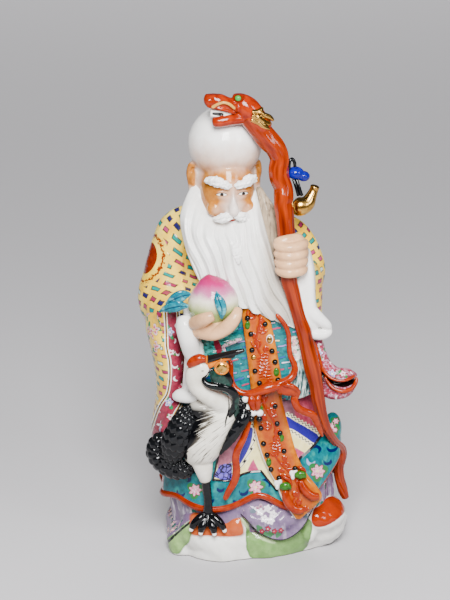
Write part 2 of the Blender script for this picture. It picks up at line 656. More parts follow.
def cloth(rows, folds, deep, shallow, phase=0.0, hem=None, around=360, along=80):
    """Cloth around the body. Rows are (height, middle, half width, front, back, out, up), the folds
    deepen towards the hem, and hem(angle) lifts the lowest rows."""
    t = np.linspace(0, 1, along + 1)
    z, middle, half, front_y, back_y, out, up = (v[:, None] for v in spline(rows, t).T)
    lowest, highest = rows[0][0], rows[-1][0]
    rise = np.clip((z - lowest) / (highest - lowest), 0, 1)
    a = np.arange(around)[None] / around * TAU
    c, s = np.cos(a), np.sin(a)
    stretch = (np.abs(c) ** 2.6 + np.abs(s) ** 2.6) ** (-1 / 2.6)
    wave = 0.5 + 0.5 * np.cos(folds * a + phase + 1.3 * np.sin(2 * a) + 0.5 * np.sin(z / 21))
    reach = stretch * (1 - (deep + (shallow - deep) * np.sqrt(rise)) * wave / half)
    lift = (hem(a) if hem else 0) * (1 - rise) ** 2
    return np.stack([middle + half * c * reach + out * c, (front_y + back_y) / 2
            + (back_y - front_y) / 2 * s * reach + out * s, z + up + lift + 0 * a], -1)


def hem_height(a):
    """The flounce is caught up in front of the apron and at the right."""
    middle, right = (np.angle(np.exp(1j * (a - at))) for at in (4.82, 5.93))
    return 10 * np.exp(-(middle / 0.22) ** 2) + 38 * np.exp(-(right / 0.39) ** 2) + 2.5 * np.sin(7 * a)


HEM_ROLL = 3.4
underskirt = tube_piece("underskirt", cloth([(14, 1, 75, -56, 58, 0, 0), (30, 1, 77, -58, 60, 0, 0),
        (52, 0, 78, -59, 60, 0, 0), (78, 0, 74, -56, 56, 0, 0)], 13, 5, 2, 0.8, around=270, along=36))
dress(underskirt, LAVENDER)

SKIRT_ROWS = [(53, 0, 85, -64, 63, -1, -1), (60, 0, 84.5, -63.5, 62.5, 0, 0),
    (80, 0, 82, -61.5, 60, 0, 0), (100, -2, 76, -60, 58, 0, 0), (135, -5, 68, -56, 54, 0, 0),
    (172, -6, 60, -48, 46, 0, 0)]
skirt_grid = cloth(SKIRT_ROWS, 9, 4, 1, 2.0, hem_height, around=330, along=84)
seen = front(skirt_grid).reshape(-1, 2)
towards = -skirt_grid[..., 1].ravel() - 25
skirt_marks = {"window": patch(seen, [(213, 480), (222, 440), (222, 380), (318, 380), (330, 425),
        (319.5, 437.8), (314, 445.4), (307, 452.5), (299.4, 458.4), (298, 490), (276, 490), (261, 471),
        (250, 472), (243, 474), (230, 481)], smooth=False),
    "mauve_top": patch(seen, [(278, 398), (296, 400), (300, 413), (294, 417), (282, 412)]),
    "pink_right": patch(seen, [(294, 400), (302, 393), (313, 394), (320, 410), (326, 434), (319, 433),
        (307, 426), (297, 418.5)]),
    "mauve_left": patch(seen, [(246, 423), (243, 438), (237, 450), (232, 461), (226, 467), (218, 470),
        (219, 454), (232, 436)]),
    "pink_points": np.maximum(patch(seen, [(253, 459), (259, 471), (247, 471)], smooth=False),
        patch(seen, [(294, 446.5), (306, 453.5), (299, 459)], smooth=False)),
    "violet_right": patch(seen, [(285, 418), (288, 416.6), (295, 421), (306, 427), (319, 436), (315, 443),
        (306, 437.6), (295, 430.4), (288, 427.4), (284.4, 422)]),
    "violet_left": stripe(seen, [(250.5, 430), (247.5, 443), (242, 455), (238, 464)], [2.6, 3.4, 3.2, 2]),
    "lattice": patch(seen, [(213, 477), (220, 465), (232, 463), (232, 481), (222, 480)], smooth=False)}
# The flounce's flowers and curled strokes where the front shows them
PEONIES = [((317.6, 471.4), 8.2), ((255.8, 487), 8.0), ((195.5, 490), 7.2)]
CURLS = [[(312, 448.5), (316, 446.4), (319.6, 449), (317.6, 453.4)],
    [(325.6, 446.6), (329, 450.4), (334, 450), (337.6, 446.4)],
    [(322.6, 459), (325.4, 463.6), (330, 462.6), (330.4, 458.6)],
    [(238.6, 489.6), (241.6, 494), (246.6, 492.8), (247.4, 488)],
    [(232.6, 497.6), (234.6, 502), (238.8, 501.4), (240.6, 497.6)],
    [(262, 479.6), (266.6, 480), (270, 483), (268.6, 487)],
    [(177.6, 489.6), (178.6, 494.2), (182.6, 495.6), (185.8, 492.6)],
    [(185.6, 476), (189, 476.6), (190, 480), (187.6, 482)],
    [(216.4, 485.6), (218.4, 490), (222, 490.6), (224.6, 487.6)],
    [(205, 497), (207.6, 501), (212, 501.6), (214.6, 498)]]
skirt_marks["curls"] = most(stripe(seen, path, [0.4, 1.5, 1.5, 0.4], 40) for path in CURLS)
skirt_marks["pale_curls"] = stripe(seen, [(306.6, 458.6), (308, 463), (312, 464.4), (314.6, 461)],
    [0.4, 1.5, 1.5, 0.4], 40)
skirt_marks["peony"] = most(flower(seen, centre, radius, 7) for centre, radius in PEONIES)
skirt_marks["peony_leaf"] = most(flower(seen, centre, radius * 1.3, 3, 1.0) for centre, radius in PEONIES)
skirt_marks["drawn_here"] = towards
skirt_marks = {name: np.minimum(value, towards).reshape(skirt_grid.shape[:2])
    for name, value in skirt_marks.items()}
# The flounce stands a little proud of the skirt that shows above it
skirt_grid = swell(skirt_grid, 1.3 * (1 - step(-1.5, 1.5, skirt_marks["window"])) - 0.6)
skirt = tube_piece("skirt", skirt_grid, skirt_marks)
dress(skirt, SKIRT)

lump = fused_piece("flounce_at_the_right", [ball(spot(332.5, 428, -12), (8.6, 14, 15), around=50,
        down=36),
        sweep(spots((330, 417, -14), (335, 430, -12), (338, 442, -10)), [(5, 10), (5, 12), (3, 8)],
        along=40, around=36)], 1.2, 2)
flat_uv(lump)
seen = front(places(lump))
rosette = [((331, 426), 4.2), ((336, 421), 4.0), ((335, 430), 3.6)]
lump_marks = {"drawn_here": np.full(len(seen), 5.0),
    "peony": most(flower(seen, *one, 6) for one in rosette),
    "peony_leaf": most(flower(seen, centre, 6.0, 3, 2.0) for centre, _ in rosette)}
for name in skirt_marks:
    mark(lump, name, lump_marks.get(name, np.full(len(seen), -20.0)))
dress(lump, SKIRT)

# The rolled hem follows the lowest edge of the skirt
hem_line = cloth(SKIRT_ROWS, 9, 4, 1, 2.0, hem_height, around=260, along=1)[0]


def ring_grid(line, radius, around=12):
    """A closed ring of round section along a closed line: no ends and no poles."""
    tangent = unit(np.roll(line, -1, 0) - np.roll(line, 1, 0))
    side = unit(np.cross(tangent, UP))
    up = np.cross(side, tangent)
    b = np.arange(around) / around * TAU
    radius = np.broadcast_to(radius, len(line))[:, None, None]
    return (line[:, None] + radius * (np.cos(b)[None, :, None] * side[:, None]
            + np.sin(b)[None, :, None] * up[:, None]))


def ring_piece(name, grid):
    rows, cols = grid.shape[:2]
    i, j = np.meshgrid(np.arange(rows), np.arange(cols), indexing="ij")
    here = i * cols + j
    beside = i * cols + (j + 1) % cols
    ahead = (i + 1) % rows * cols + j
    both = (i + 1) % rows * cols + (j + 1) % cols
    quads = np.stack([here, ahead, both, beside], -1).reshape(-1, 4)
    return new_piece(name, grid.reshape(-1, 3), quads.tolist())


# Right of the apron the hem is only turned under
thin = step(50, 58, hem_line[:, 0]) * step(0, -8, hem_line[:, 1])
hem_roll = ring_piece("rolled_hem", ring_grid(hem_line, HEM_ROLL * (1 - 0.7 * thin)))
dress(hem_roll, IRON_RED)

LEFT_FACE = (-1, -1, 1)
RIGHT_FACE = (1, -0.3, 1)
robe_forms = [cloth([(130, -4, 66, -50, 53, 0, 0), (180, -8, 61, -48, 50, 0, 0),
        (230, -10, 58, -46, 50, 0, 0), (268, -13, 55, -44, 49, 0, 0), (294, -17, 49, -38, 42, 0, 0),
        (316, -23, 38, -34, 28, 0, 0), (334, -26, 27, -32, 13, 0, 0)], 7, 3, 0.5, 1.2, around=200,
        along=80),
    sweep([(-56, -2, 316), (-44, -28, 322), (-12, -34, 312), (16, -14, 306)],
        [(5, 5), (7, 6), (7, 6), (5, 5)], face=UP),
    sweep([(-42, 4, 304), (-61, 4, 295), (-76, 0, 264), (-79, -14, 234), (-72, -42, 230),
        (-67, -58, 229)], [(12, 14), (22, 23), (24, 26), (24, 24), (18, 18), (14, 15)], face=LEFT_FACE,
        along=60, around=48),
    sweep([(-78, -20, 240), (-79, -24, 205), (-78, -25, 180), (-80, -23, 145), (-86, -18, 118),
        (-91, -15, 104)], [(20, 30), (17, 35), (17, 34), (12, 30), (8, 20), (2, 5)], along=60, around=48),
    sweep([(12, 4, 304), (32, 4, 286), (43, -6, 262), (44, -26, 258), (38, -44, 272), (34, -56, 284)],
        [(10, 14), (19, 22), (21, 24), (18, 20), (14, 15), (9, 10)], face=RIGHT_FACE, along=60,
        around=48),
    sweep([(44, -18, 262), (45, -22, 232), (46, -24, 208), (54, -27, 188), (62, -29, 176),
        (68, -30, 170)], [(19, 26), (18, 28), (16, 26), (13, 19), (9, 12), (4, 5)], along=60, around=48),
    sweep(spots((179, 386, -50), (176, 400, -52), (170, 416, -53), (161, 432, -50)),
        [(4, 5), (6.5, 6), (6.5, 6), (4, 4)], along=50, around=40)]
robe = fused_piece("yellow_robe", robe_forms, 1.7, 2)
where = places(robe)
# The left sleeve's outline draws in above the elbow and again below it: (down, how far in)
SLEEVE_UNIT = 0.93        # millimetres for one unit of the painter's view at the sleeve
SLEEVE_OUTLINE = [(228, 0), (242, 3.2), (258, 5.2), (275, 5), (288, 1.5), (299, 0), (326, 0), (336, 2),
    (346, 4.2), (359, 6), (372, 6.4), (385, 5.4), (398, 3.4), (412, 2.2), (430, 1), (446, 0)]
heights = [spot(150, down, -18)[2] for down, _ in SLEEVE_OUTLINE]
drawn_in = np.interp(where[:, 2], heights[::-1], [pull for _, pull in SLEEVE_OUTLINE][::-1])
where[:, 0] += SLEEVE_UNIT * drawn_in * step(-55, -80, where[:, 0])
move(robe, where)
row_uv(robe, MARKS_ROUND * MARK_PITCH[0] / TAU)
flat_uv(robe)
where = places(robe)
seen = front(where)
towards = 4 - where[:, 1]
ROUNDEL = (-98.5, -10, 274)
mark(robe, "roundel", np.linalg.norm(where - ROUNDEL, axis=1))
mark(robe, "spray", np.minimum(patch(seen, [(143, 316), (156, 314), (162, 330), (160, 350), (150, 352),
        (145, 335)]), towards))
band = stripe(seen, [(171.5, 312), (173, 330), (176.2, 346), (178.5, 359), (178.7, 372), (177.5, 385),
        (174.5, 398), (167.3, 410), (161.5, 424), (156, 440)],
    [4.5, 5, 7.8, 7.5, 6.9, 6.5, 6.5, 6.8, 6.5, 6])
mark(robe, "band", np.minimum(band, towards))
push(robe, 1.0 * step(-1.0, 2.0, np.minimum(band, towards)))
dress(robe, YELLOW)
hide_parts(NODE)


# The old man's head. Its own frame has the face along -y, before it turns and nods.

HEAD_CENTRE = (-25, -17, 345)
HEAD_TURN, HEAD_NOD = 0.2, 0.1
BROW, CHIN, FACE_HALF, FACE_FRONT = 10, -42, 24, -37
THIRD = (BROW - CHIN) / 2
NOSE_BASE = BROW - THIRD
MOUTH = NOSE_BASE - THIRD / 3
EYE_LINE = BROW - THIRD * 0.36
EYE_APART = FACE_HALF * 2 / 5


def on_head(points):
    points = np.asarray(points, float)
    cn, sn, ct, st = math.cos(HEAD_NOD), math.sin(HEAD_NOD), math.cos(HEAD_TURN), math.sin(HEAD_TURN)
    x, y, z = np.moveaxis(points, -1, 0)
    y, z = y * cn - z * sn, y * sn + z * cn
    return np.stack([x * ct - y * st, x * st + y * ct, z], -1) + np.asarray(HEAD_CENTRE, float)


def head_frame(points):
    """Back from the figure to the head's own frame."""
    x, y, z = np.moveaxis(np.asarray(points, float) - np.asarray(HEAD_CENTRE, float), -1, 0)
    cn, sn, ct, st = math.cos(HEAD_NOD), math.sin(HEAD_NOD), math.cos(HEAD_TURN), math.sin(HEAD_TURN)
    x, y = x * ct + y * st, -x * st + y * ct
    return np.stack([x, y * cn + z * sn, -y * sn + z * cn], -1)


def hill(points, centre, size):
    """1 at the centre, falling smoothly to 0 over that size."""
    away = (points - np.asarray(centre, float)) / np.asarray(size, float)
    return np.exp(-(away ** 2).sum(-1))


head_forms = [ball((0, 2, 35), (32.5, 33, 33.5), tip=0.12, around=64, down=44),
    ball((0, -12, -6), (FACE_HALF, 27, 37), around=64, down=44),
    ball((0, 6, 4), (28.5, 29, 32), around=48, down=36),
    sweep([(0, FACE_FRONT + 3, BROW - 1), (0, FACE_FRONT - 1, NOSE_BASE + 10),
        (0, FACE_FRONT - 5, NOSE_BASE + 3), (0, FACE_FRONT + 3, NOSE_BASE - 1)],
        [(2.6, 2.5), (3.6, 4), (4.6, 4.6), (3, 2)], along=30, around=24)]
for side in (-1, 1):
    head_forms += [ball((side * 4.6, FACE_FRONT - 0.5, NOSE_BASE + 1.8), (2.7, 3.4, 2.6), around=20,
            down=14),
        ball((side * EYE_APART, FACE_FRONT + 6.5, EYE_LINE), (6.2, 5.2, 4.6), around=24, down=16),
        ball((side * 13, FACE_FRONT + 7.5, NOSE_BASE + 2), (8.5, 6.5, 7.5), around=24, down=16),
        sweep([(side * 25, -3, 16), (side * 30, 1, 17), (side * 32, 3, 9), (side * 30.5, 2, 0),
            (side * 28.5, -2, -8), (side * 27, -4, -15)], [(2, 2.5), (2.2, 3.4), (2.1, 4), (2.4, 4),
            (3.4, 4.6), (2.6, 3)], along=44, around=18),
        sweep([(side * 25, -2, 12), (side * 29, 0, 4), (side * 27, -3, -6)], [(3, 4), (3, 5), (2, 3)],
            along=20, around=14)]
head = fused_piece("head", [on_head(form) for form in head_forms], 0.95, 2)
half_face = head_frame(places(head))
half_face[:, 0] = np.abs(half_face[:, 0])
# Hollows and swellings on either side of the middle: (how far out, place, size)
FEATURES = [(-2.6, (4.6, FACE_FRONT + 3, EYE_LINE + 1), (4, 9, 5)),
    (-1.3, (EYE_APART, FACE_FRONT + 2, EYE_LINE - 6), (8, 8, 2.2)),
    (0.8, (EYE_APART, FACE_FRONT + 2, EYE_LINE + 2.2), (6, 8, 1.3)),
    (-0.7, (EYE_APART, FACE_FRONT + 2, EYE_LINE + 4.4), (6, 8, 1.0)),
    (-1.2, (2.4, FACE_FRONT - 1, NOSE_BASE - 0.5), (1.3, 4, 1.2)),
    (0.9, (0, FACE_FRONT, MOUTH + 1.4), (7, 9, 1.5)),
    (1.1, (0, FACE_FRONT, MOUTH - 2.6), (5.5, 9, 1.8)),
    (-0.9, (0, FACE_FRONT, MOUTH - 0.4), (7.5, 9, 0.8))]
push(head, sum(out * hill(half_face, place, size) for out, place, size in FEATURES))


def paint_head(tree):
    """White glaze warmed with flesh enamel on the face, eyes and lips drawn by brush."""
    place = drawn_place(tree)
    face = add(tree, "Mapping", place, HEAD_CENTRE, (HEAD_NOD, 0, HEAD_TURN), vector_type="TEXTURE")
    parts = add(tree, "SeparateXYZ", face)
    x = add(tree, "Math", parts, operation="ABSOLUTE")
    y, z = parts.node.outputs["Y"], parts.node.outputs["Z"]
    white = tone(tree, place, "#f4f2ef", "#e9e7e3", 20.0)
    # Flesh enamel lies on the whole face and thins out up the forehead and down the nose
    cloud = add(tree, "TexNoise", place, Scale=0.09, Detail=2.0)
    height = add(tree, "Math", z, add(tree, "MapRange", cloud, 0.0, 1.0, -7.0, 7.0), operation="ADD")
    upper = add(tree, "MapRange", height, 14.0, 48.0, 1.0, 0.0)
    facing = add(tree, "MapRange", y, -14.0, 4.0, 1.0, 0.0)
    flesh = add(tree, "Math", upper, facing, operation="MULTIPLY")
    nose = add(tree, "MapRange", y, FACE_FRONT - 4.0, FACE_FRONT + 3.0, 0.35, 1.0)
    flesh = add(tree, "Math", flesh, nose, operation="MULTIPLY")
    skin_tone = tone(tree, place, "#b97930", "#9c5504", 9.0)
    colour = add(tree, "Mix", flesh, white, skin_tone, data_type="RGBA")
    ears = add(tree, "MapRange", x, 25.5, 28.0, 0.0, 1.0)
    low = add(tree, "MapRange", add(tree, "Math", add(tree, "Math", z, 9.0, operation="SUBTRACT"),
            operation="ABSOLUTE"), 9.0, 15.0, 1.0, 0.0)
    colour = add(tree, "Mix", add(tree, "Math", ears, low, operation="MULTIPLY"), colour, skin_tone,
        data_type="RGBA")
    # Eyes: a dark upper lid, white, and a black pupil
    out = add(tree, "Math", x, EYE_APART, operation="SUBTRACT")
    bow = add(tree, "Math", add(tree, "Math", out, out, operation="MULTIPLY"), -0.085,
        operation="MULTIPLY")
    up = add(tree, "Math", z, EYE_LINE, operation="SUBTRACT")
    top = add(tree, "Math", add(tree, "Math", bow, 1.5, operation="ADD"), up, operation="SUBTRACT")
    foot = add(tree, "Math", add(tree, "Math", bow, -0.45, operation="MULTIPLY"), 1.0,
        operation="SUBTRACT")
    bottom = add(tree, "Math", up, foot, operation="SUBTRACT")
    opening = add(tree, "Math", top, bottom, operation="MINIMUM")
    front_half = add(tree, "Math", y, -20.0, operation="LESS_THAN")
    lid = add(tree, "Math", add(tree, "MapRange", opening, -0.95, -0.55), front_half,
        operation="MULTIPLY")
    above = add(tree, "MapRange", up, -0.4, 0.2, 0.35, 1.0)
    colour = add(tree, "Mix", add(tree, "Math", lid, above, operation="MULTIPLY"), colour, "#2d1c16",
        data_type="RGBA")
    open_eye = add(tree, "Math", add(tree, "MapRange", opening, -0.15, 0.15), front_half,
        operation="MULTIPLY")
    iris = add(tree, "VectorMath", add(tree, "CombineXYZ", out, 0.0, up), out=0, operation="LENGTH")
    ball_colour = lay(tree, "#f3ede4", (iris, 1.8, 1.5, "#15110f"))
    colour = add(tree, "Mix", open_eye, colour, ball_colour, data_type="RGBA")
    # Lips in iron red, closed
    away = add(tree, "Math", z, MOUTH - 0.6, operation="SUBTRACT")
    curve = add(tree, "Math", add(tree, "Math", x, x, operation="MULTIPLY"), 0.016, operation="MULTIPLY")
    away = add(tree, "Math", away, curve, operation="SUBTRACT")
    width = add(tree, "MapRange", x, 0.0, 8.0, 3.0, 0.0)
    lips = add(tree, "Math", width, add(tree, "Math", away, operation="ABSOLUTE"), operation="SUBTRACT")
    lips = add(tree, "Math", add(tree, "MapRange", lips, -0.25, 0.25), front_half, operation="MULTIPLY")
    colour = add(tree, "Mix", lips, colour, "#8a1800", data_type="RGBA")
    seam = add(tree, "Math", 0.45, add(tree, "Math", away, operation="ABSOLUTE"), operation="SUBTRACT")
    seam = add(tree, "Math", add(tree, "MapRange", seam, -0.2, 0.2), lips, operation="MULTIPLY")
    return add(tree, "Mix", seam, colour, "#540905", data_type="RGBA"), None


dress(head, glazed("white_glaze_with_flesh_tint", paint_head, roughness=0.09))


def hair_strands(grid, strands, depth, seed, waver=0.6):
    """Combs a grid lengthwise into strands."""
    rows, cols = grid.shape[:2]
    j = np.arange(cols)[None] / cols * TAU
    i = np.linspace(0, 1, rows)[:, None]
    phase = waver * np.sin(5 * i * TAU / 2 + seed) + 0.4 * np.sin(11 * i + 2 * seed)
    comb = np.sin(strands * (j + 0.25 * phase)) * 0.7 + 0.3 * np.sin(2.3 * strands * j + 7 * phase)
    return swell(grid, depth * comb)


hair_forms = []
for side in (-1, 1):
    hair_forms += [hair_strands(sweep([(side * 2, FACE_FRONT + 1, BROW - 2.5),
            (side * 8, FACE_FRONT - 0.5, BROW + 0.5), (side * 15, FACE_FRONT + 3, BROW + 2.5),
            (side * 22, FACE_FRONT + 11, BROW + 1)], [(2.6, 2.2), (3.6, 3.4), (4.6, 3.8), (2.8, 2.4)],
            along=60, around=40), 7, 0.5, side),
        hair_strands(sweep([(side * 1, FACE_FRONT - 3, MOUTH + 6),
            (side * 6, FACE_FRONT - 4, MOUTH + 6.5), (side * 11.5, FACE_FRONT - 2, MOUTH + 4.5),
            (side * 16.5, FACE_FRONT + 1.5, MOUTH + 3)], [(2.2, 2), (4.2, 3.6), (3.8, 3.2), (1.5, 1.4)],
            along=60, around=40), 7, 0.5, side + 4)]
hair_forms.append(hair_strands(sweep([(0, FACE_FRONT - 13, MOUTH - 14),
        (1, FACE_FRONT - 17.5, MOUTH - 22), (2, FACE_FRONT - 21, MOUTH - 31)],
        [(3.4, 2.6), (4, 2.6), (1.6, 1.4)], along=50, around=36), 5, 0.5, 3))
brows = fused_piece("brows_and_moustache", [on_head(form) for form in hair_forms], 0.58, 1)
x, y, z = places(brows).T
push(brows, 0.45 * waves(x, z, 5, 4.0) + 0.3 * waves(x, y + z, 9, 2.2))


def paint_slip(tree):
    """Brushed-on white slip: bright, with grey in its combed lines."""
    place = drawn_place(tree)
    fine = add(tree, "TexNoise", place, Scale=0.55, Detail=3.0, Roughness=0.7)
    colour = lay(tree, "#f7f6f3", (fine, 0.56, 0.78, "#b2aea9", 0.7))
    return colour, fine


SLIP = glazed("combed_white_slip", paint_slip, roughness=0.35, relief=0.5)
dress(brows, SLIP)

# The beard: long wavy locks that swing to the viewer's right as they fall. Each row, from the
# lower edge up, is (left, middle, right) as (across, down, y).
BEARD = [((206, 288, -60), (250, 309, -62), (299, 327, -52)),
    ((199, 281, -58), (244, 298, -64), (291, 305, -54)),
    ((190, 262, -52), (238, 282, -65), (281, 282, -56)),
    ((183, 240, -47), (230, 263, -64), (273, 255, -54)),
    ((180, 217, -40), (225, 246, -62), (266, 230, -48)),
    ((186, 197, -32), (224, 235, -58), (260, 207, -42)),
    ((194, 182, -24), (226, 227, -52), (256, 190, -34))]


def beard_grid(across=210, along=130, back=-18):
    t = np.linspace(0, 1, along + 1)[:, None]
    rows = spline([spots(*row).ravel() for row in BEARD], t[:, 0]).reshape(-1, 1, 3, 3)
    left, middle, right = rows[:, :, 0], rows[:, :, 1], rows[:, :, 2]
    s = np.linspace(0, 1, across)[None]
    w = s[..., None]
    face = left * (1 - w) * (1 - 2 * w) + middle * 4 * w * (1 - w) + right * w * (2 * w - 1)
    side_y = left[..., 1] * (1 - s) + right[..., 1] * s
    drop = 1 - t
    lane = s + 0.03 * np.sin(drop * 6.5 + 5 * s) + 0.012 * np.sin(drop * 15 + 11 * s)
    lock = np.abs(np.sin(lane * 8 * np.pi)) ** 0.7
    second = 0.5 - 0.5 * np.cos(lane * 21 * TAU + 2 * np.sin(drop * 6))
    fade = np.clip(s / 0.05, 0, 1) * np.clip((1 - s) / 0.05, 0, 1) * (0.25 + 0.75 * step(0.0, 0.4, drop))
    bulge = np.sin(s * np.pi) ** 0.6
    face[..., 1] = (side_y + (middle[..., 1] - (left + right)[..., 1] / 2) * bulge
        - fade * (4.4 * lock + 0.55 * second) + 1.5)
    face[..., 2] -= drop ** 14 * (3.2 * lock - 1.6)
    edges = np.linspace(1, 0, 24)[None, 1:-1, None]
    rear = left * (1 - edges) + right * edges
    rear[..., 1] = back
    return np.concatenate([face, rear], 1)


beard = tube_piece("beard", beard_grid())


def paint_beard(tree):
    """White glaze, grey in the combed hollows and warm grey on the shaded side."""
    place = drawn_place(tree)
    streak = add(tree, "TexNoise", add(tree, "VectorMath", add(tree, "UVMap", uv_map="millimetres"),
            (0.5, 0.03, 0), operation="MULTIPLY"), Scale=1.0, Detail=2.0)
    colour = tone(tree, place, "#f3f2ef", "#e3e2dd", 16.0)
    return lay(tree, colour, (add(tree, "SeparateXYZ", place), 1.0, 15.0, "#aea494", 0.75),
        (streak, 0.55, 0.8, "#c5c6c1", 0.5)), None


dress(beard, glazed("white_glaze_pooled_in_the_locks", paint_beard, roughness=0.08))

side_hair = fused_piece("hair_beside_the_beard", [hair_strands(
        sweep(spots(*keys), [(2.4, 2), (5, 3.4), (6, 3.8), (5.4, 3.6), (3, 2.4)], along=110, around=60),
        6, 0.7, n) for n, keys in enumerate((((258, 187, -30), (264, 203, -36), (268, 221, -40),
        (271, 240, -43), (273, 258, -45)), ((260, 192, -26), (269, 208, -30), (274, 226, -34),
        (277, 246, -38), (278, 268, -42))))], 0.85, 1)


def paint_side_hair(tree):
    """Glaze over grey brown slip: the hair in the shadow of the staff."""
    place = drawn_place(tree)
    streak = add(tree, "TexNoise", add(tree, "VectorMath", place, (0.5, 0.5, 0.03), operation="MULTIPLY"),
        Scale=1.0, Detail=2.0)
    return lay(tree, tone(tree, place, "#a8967e", "#857460", 14.0),
        (streak, 0.5, 0.66, "#5a4c3e", 0.7)), None


dress(side_hair, glazed("glaze_over_grey_slip", paint_side_hair))

# Hands in flesh enamel
fist_forms = [ball((33, -59.5, 289), (14, 13, 18), around=40, down=30),
    ball((41, -50, 288), (8, 13, 15), around=36, down=26)]
fist_forms += [sweep([(44.4, -52, z - 0.5), (42, -66, z), (32, -71.5, z - 1),
        (23.5 + lean, -68.4, z - 0.8), (20 + lean, -61, z)],
        [(4.2, 3.4), (4.9, 4.6), (4.9, 4.5), (4.7, 4.4), (3.6, 3.2)], face=UP, along=40, around=22)
    for z, lean in ((300.0, 0.0), (292.4, 0.4), (284.8, 0.8), (277.6, 1.6))]
fist_forms.append(sweep([(41, -46, 297), (39, -58, 304), (31, -64, 305), (23, -64.4, 303.6),
        (20, -60, 302)], [(4.4, 4.4), (4.5, 4.5), (4.4, 4.2), (4.2, 3.8), (3, 2.8)], face=UP, along=40,
        around=22))
fist = fused_piece("hand_on_the_staff", fist_forms, 0.9, 4)
dress(fist, FLESH)

palm_forms = [sweep(spots((188, 326, -62), (195, 327, -65), (204, 328, -70), (217, 326, -72),
        (228, 319, -72)), [(8, 9), (9, 10), (9.6, 13), (10, 13), (7, 8)], along=50, around=36),
    sweep(spots((193, 324, -77), (199, 321.5, -84), (206, 318.5, -90), (214, 315.5, -90.5)),
        [(6, 5.4), (6.4, 5.6), (5.6, 5.2), (4.2, 4)], along=50, around=30),
    sweep(spots((200, 333, -76), (214, 334.5, -84), (227, 327, -86), (235.5, 317, -85),
        (238.5, 307.5, -80)), [(4.6, 6), (5.4, 6), (6.4, 5.6), (5.4, 4.8), (3.4, 3.2)], along=60,
        around=30)]
palm_forms += [sweep(spots((196, 328 + 2 * n, -72 + 7 * n), (212, 331 + n, -78 + 7 * n),
        (226, 324, -79 + 6 * n), (235, 313 - n, -77 + 6 * n)), [(4.6, 5), (5, 5), (4.6, 4.6), (3.4, 3.4)],
        along=44, around=22) for n in range(3)]
palm = fused_piece("hand_under_the_peach", palm_forms, 0.95, 2)
dress(palm, FLESH)


# Peach, leaves and staff

def peach_grid(around=80, along=72):
    axis = spots((214, 326, -68), (214, 318, -68), (213.5, 310, -68), (213, 302, -68), (212, 294, -68),
        (210.5, 286, -68), (209, 279.5, -68), (208.2, 274.5, -68))
    grid = sweep(axis, [(5, 5), (16, 14), (21, 19), (22.4, 20.5), (20.5, 19), (15.5, 15), (9, 9),
            (1.5, 1.5)], along=along, around=around, ends=(0.03, 0.015))
    a = np.arange(around)[None] / around * TAU
    off = np.angle(np.exp(1j * (a + 1.15)))
    t = np.linspace(0, 1, along + 1)[:, None]
    return swell(grid, -1.2 * np.exp(-(off / 0.16) ** 2) * np.sin(t * np.pi) ** 0.6)


peach = tube_piece("peach", peach_grid())


def paint_peach(tree):
    """Blown pink at the tip, white in the middle and green at the foot, with fine speckle."""
    place = drawn_place(tree)
    z = add(tree, "SeparateXYZ", mottled(tree, place, 3.0, 9.0)).node.outputs["Z"]
    grain = add(tree, "TexNoise", place, Scale=1.3, Detail=2.0)
    height = add(tree, "Math", z, add(tree, "MapRange", grain, 0.0, 1.0, -2.5, 2.5), operation="ADD")
    bands = add(tree, "ValToRGB", add(tree, "MapRange", height, 232.0, 276.0, 0.0, 1.0))
    ramp = bands.node.color_ramp
    for n, (at, code) in enumerate([(0.0, "#9aa66a"), (0.24, "#7f9650"), (0.38, "#b9bd8c"),
                (0.52, "#e4dac9"), (0.66, "#bb6a92"), (0.82, "#ab2266"), (1.0, "#9c0644")]):
        stop = ramp.elements[n] if n < 2 else ramp.elements.new(at)
        stop.position = at
        stop.color = linear(code)
    return bands, None


dress(peach, glazed("peach_pink_and_green_enamel", paint_peach))


def leaf_grid(keys, half, thick, along=64, around=60):
    """A pointed leaf with a sunk midrib, glazed thick."""
    widths = [(max(half * math.sin(math.pi * min(v * 0.92 + 0.06, 1.0)) ** 0.8, 0.4), thick)
        for v in np.linspace(0, 1, len(keys))]
    grid = sweep(keys, widths, along=along, around=around, ends=(0.03, 0.03))
    across = np.cos(np.arange(around)[None] / around * TAU) * np.ones((along + 1, 1))
    return swell(grid, -0.5 * np.exp(-(across / 0.14) ** 2)), {"across": across}


def paint_leaf(tree):
    """Blue green, dark in the midrib and along the rim, pale where the enamel is thin."""
    place = drawn_place(tree)
    colour = tone(tree, place, "#007786", "#00465a", 4.0)
    pale = add(tree, "TexNoise", place, Scale=0.2, Detail=1.0)
    colour = lay(tree, colour, (pale, 0.52, 0.68, "#6fb8be", 0.55))
    off = add(tree, "Math", "across", operation="ABSOLUTE")
    colour = lay(tree, colour, (off, 0.16, 0.05, "#00253e", 0.9))
    return lay(tree, colour, (off, 0.86, 0.97, "#00253e", 0.85)), None


LEAF = glazed("blue_green_leaf_enamel", paint_leaf)
# Each leaf's midrib and half its width
LEAVES = [(spots((190, 294, -77), (183, 295.5, -81), (175, 298.5, -81), (166, 303, -75)), 5.4),
    (spots((188, 306, -79), (179, 306, -82), (169, 308, -79), (159.5, 311, -71)), 5.0),
    (spots((221.5, 318, -89), (222, 311, -91.5), (220.5, 304, -91.5), (218, 298, -90),
        (216.4, 291.5, -86)), 4.8)]
for n, (keys, half) in enumerate(LEAVES):
    leaf_points, leaf_marks = leaf_grid(keys, half, 1.9)
    dress(tube_piece(f"peach_leaf_{n + 1}", leaf_points, leaf_marks), LEAF)

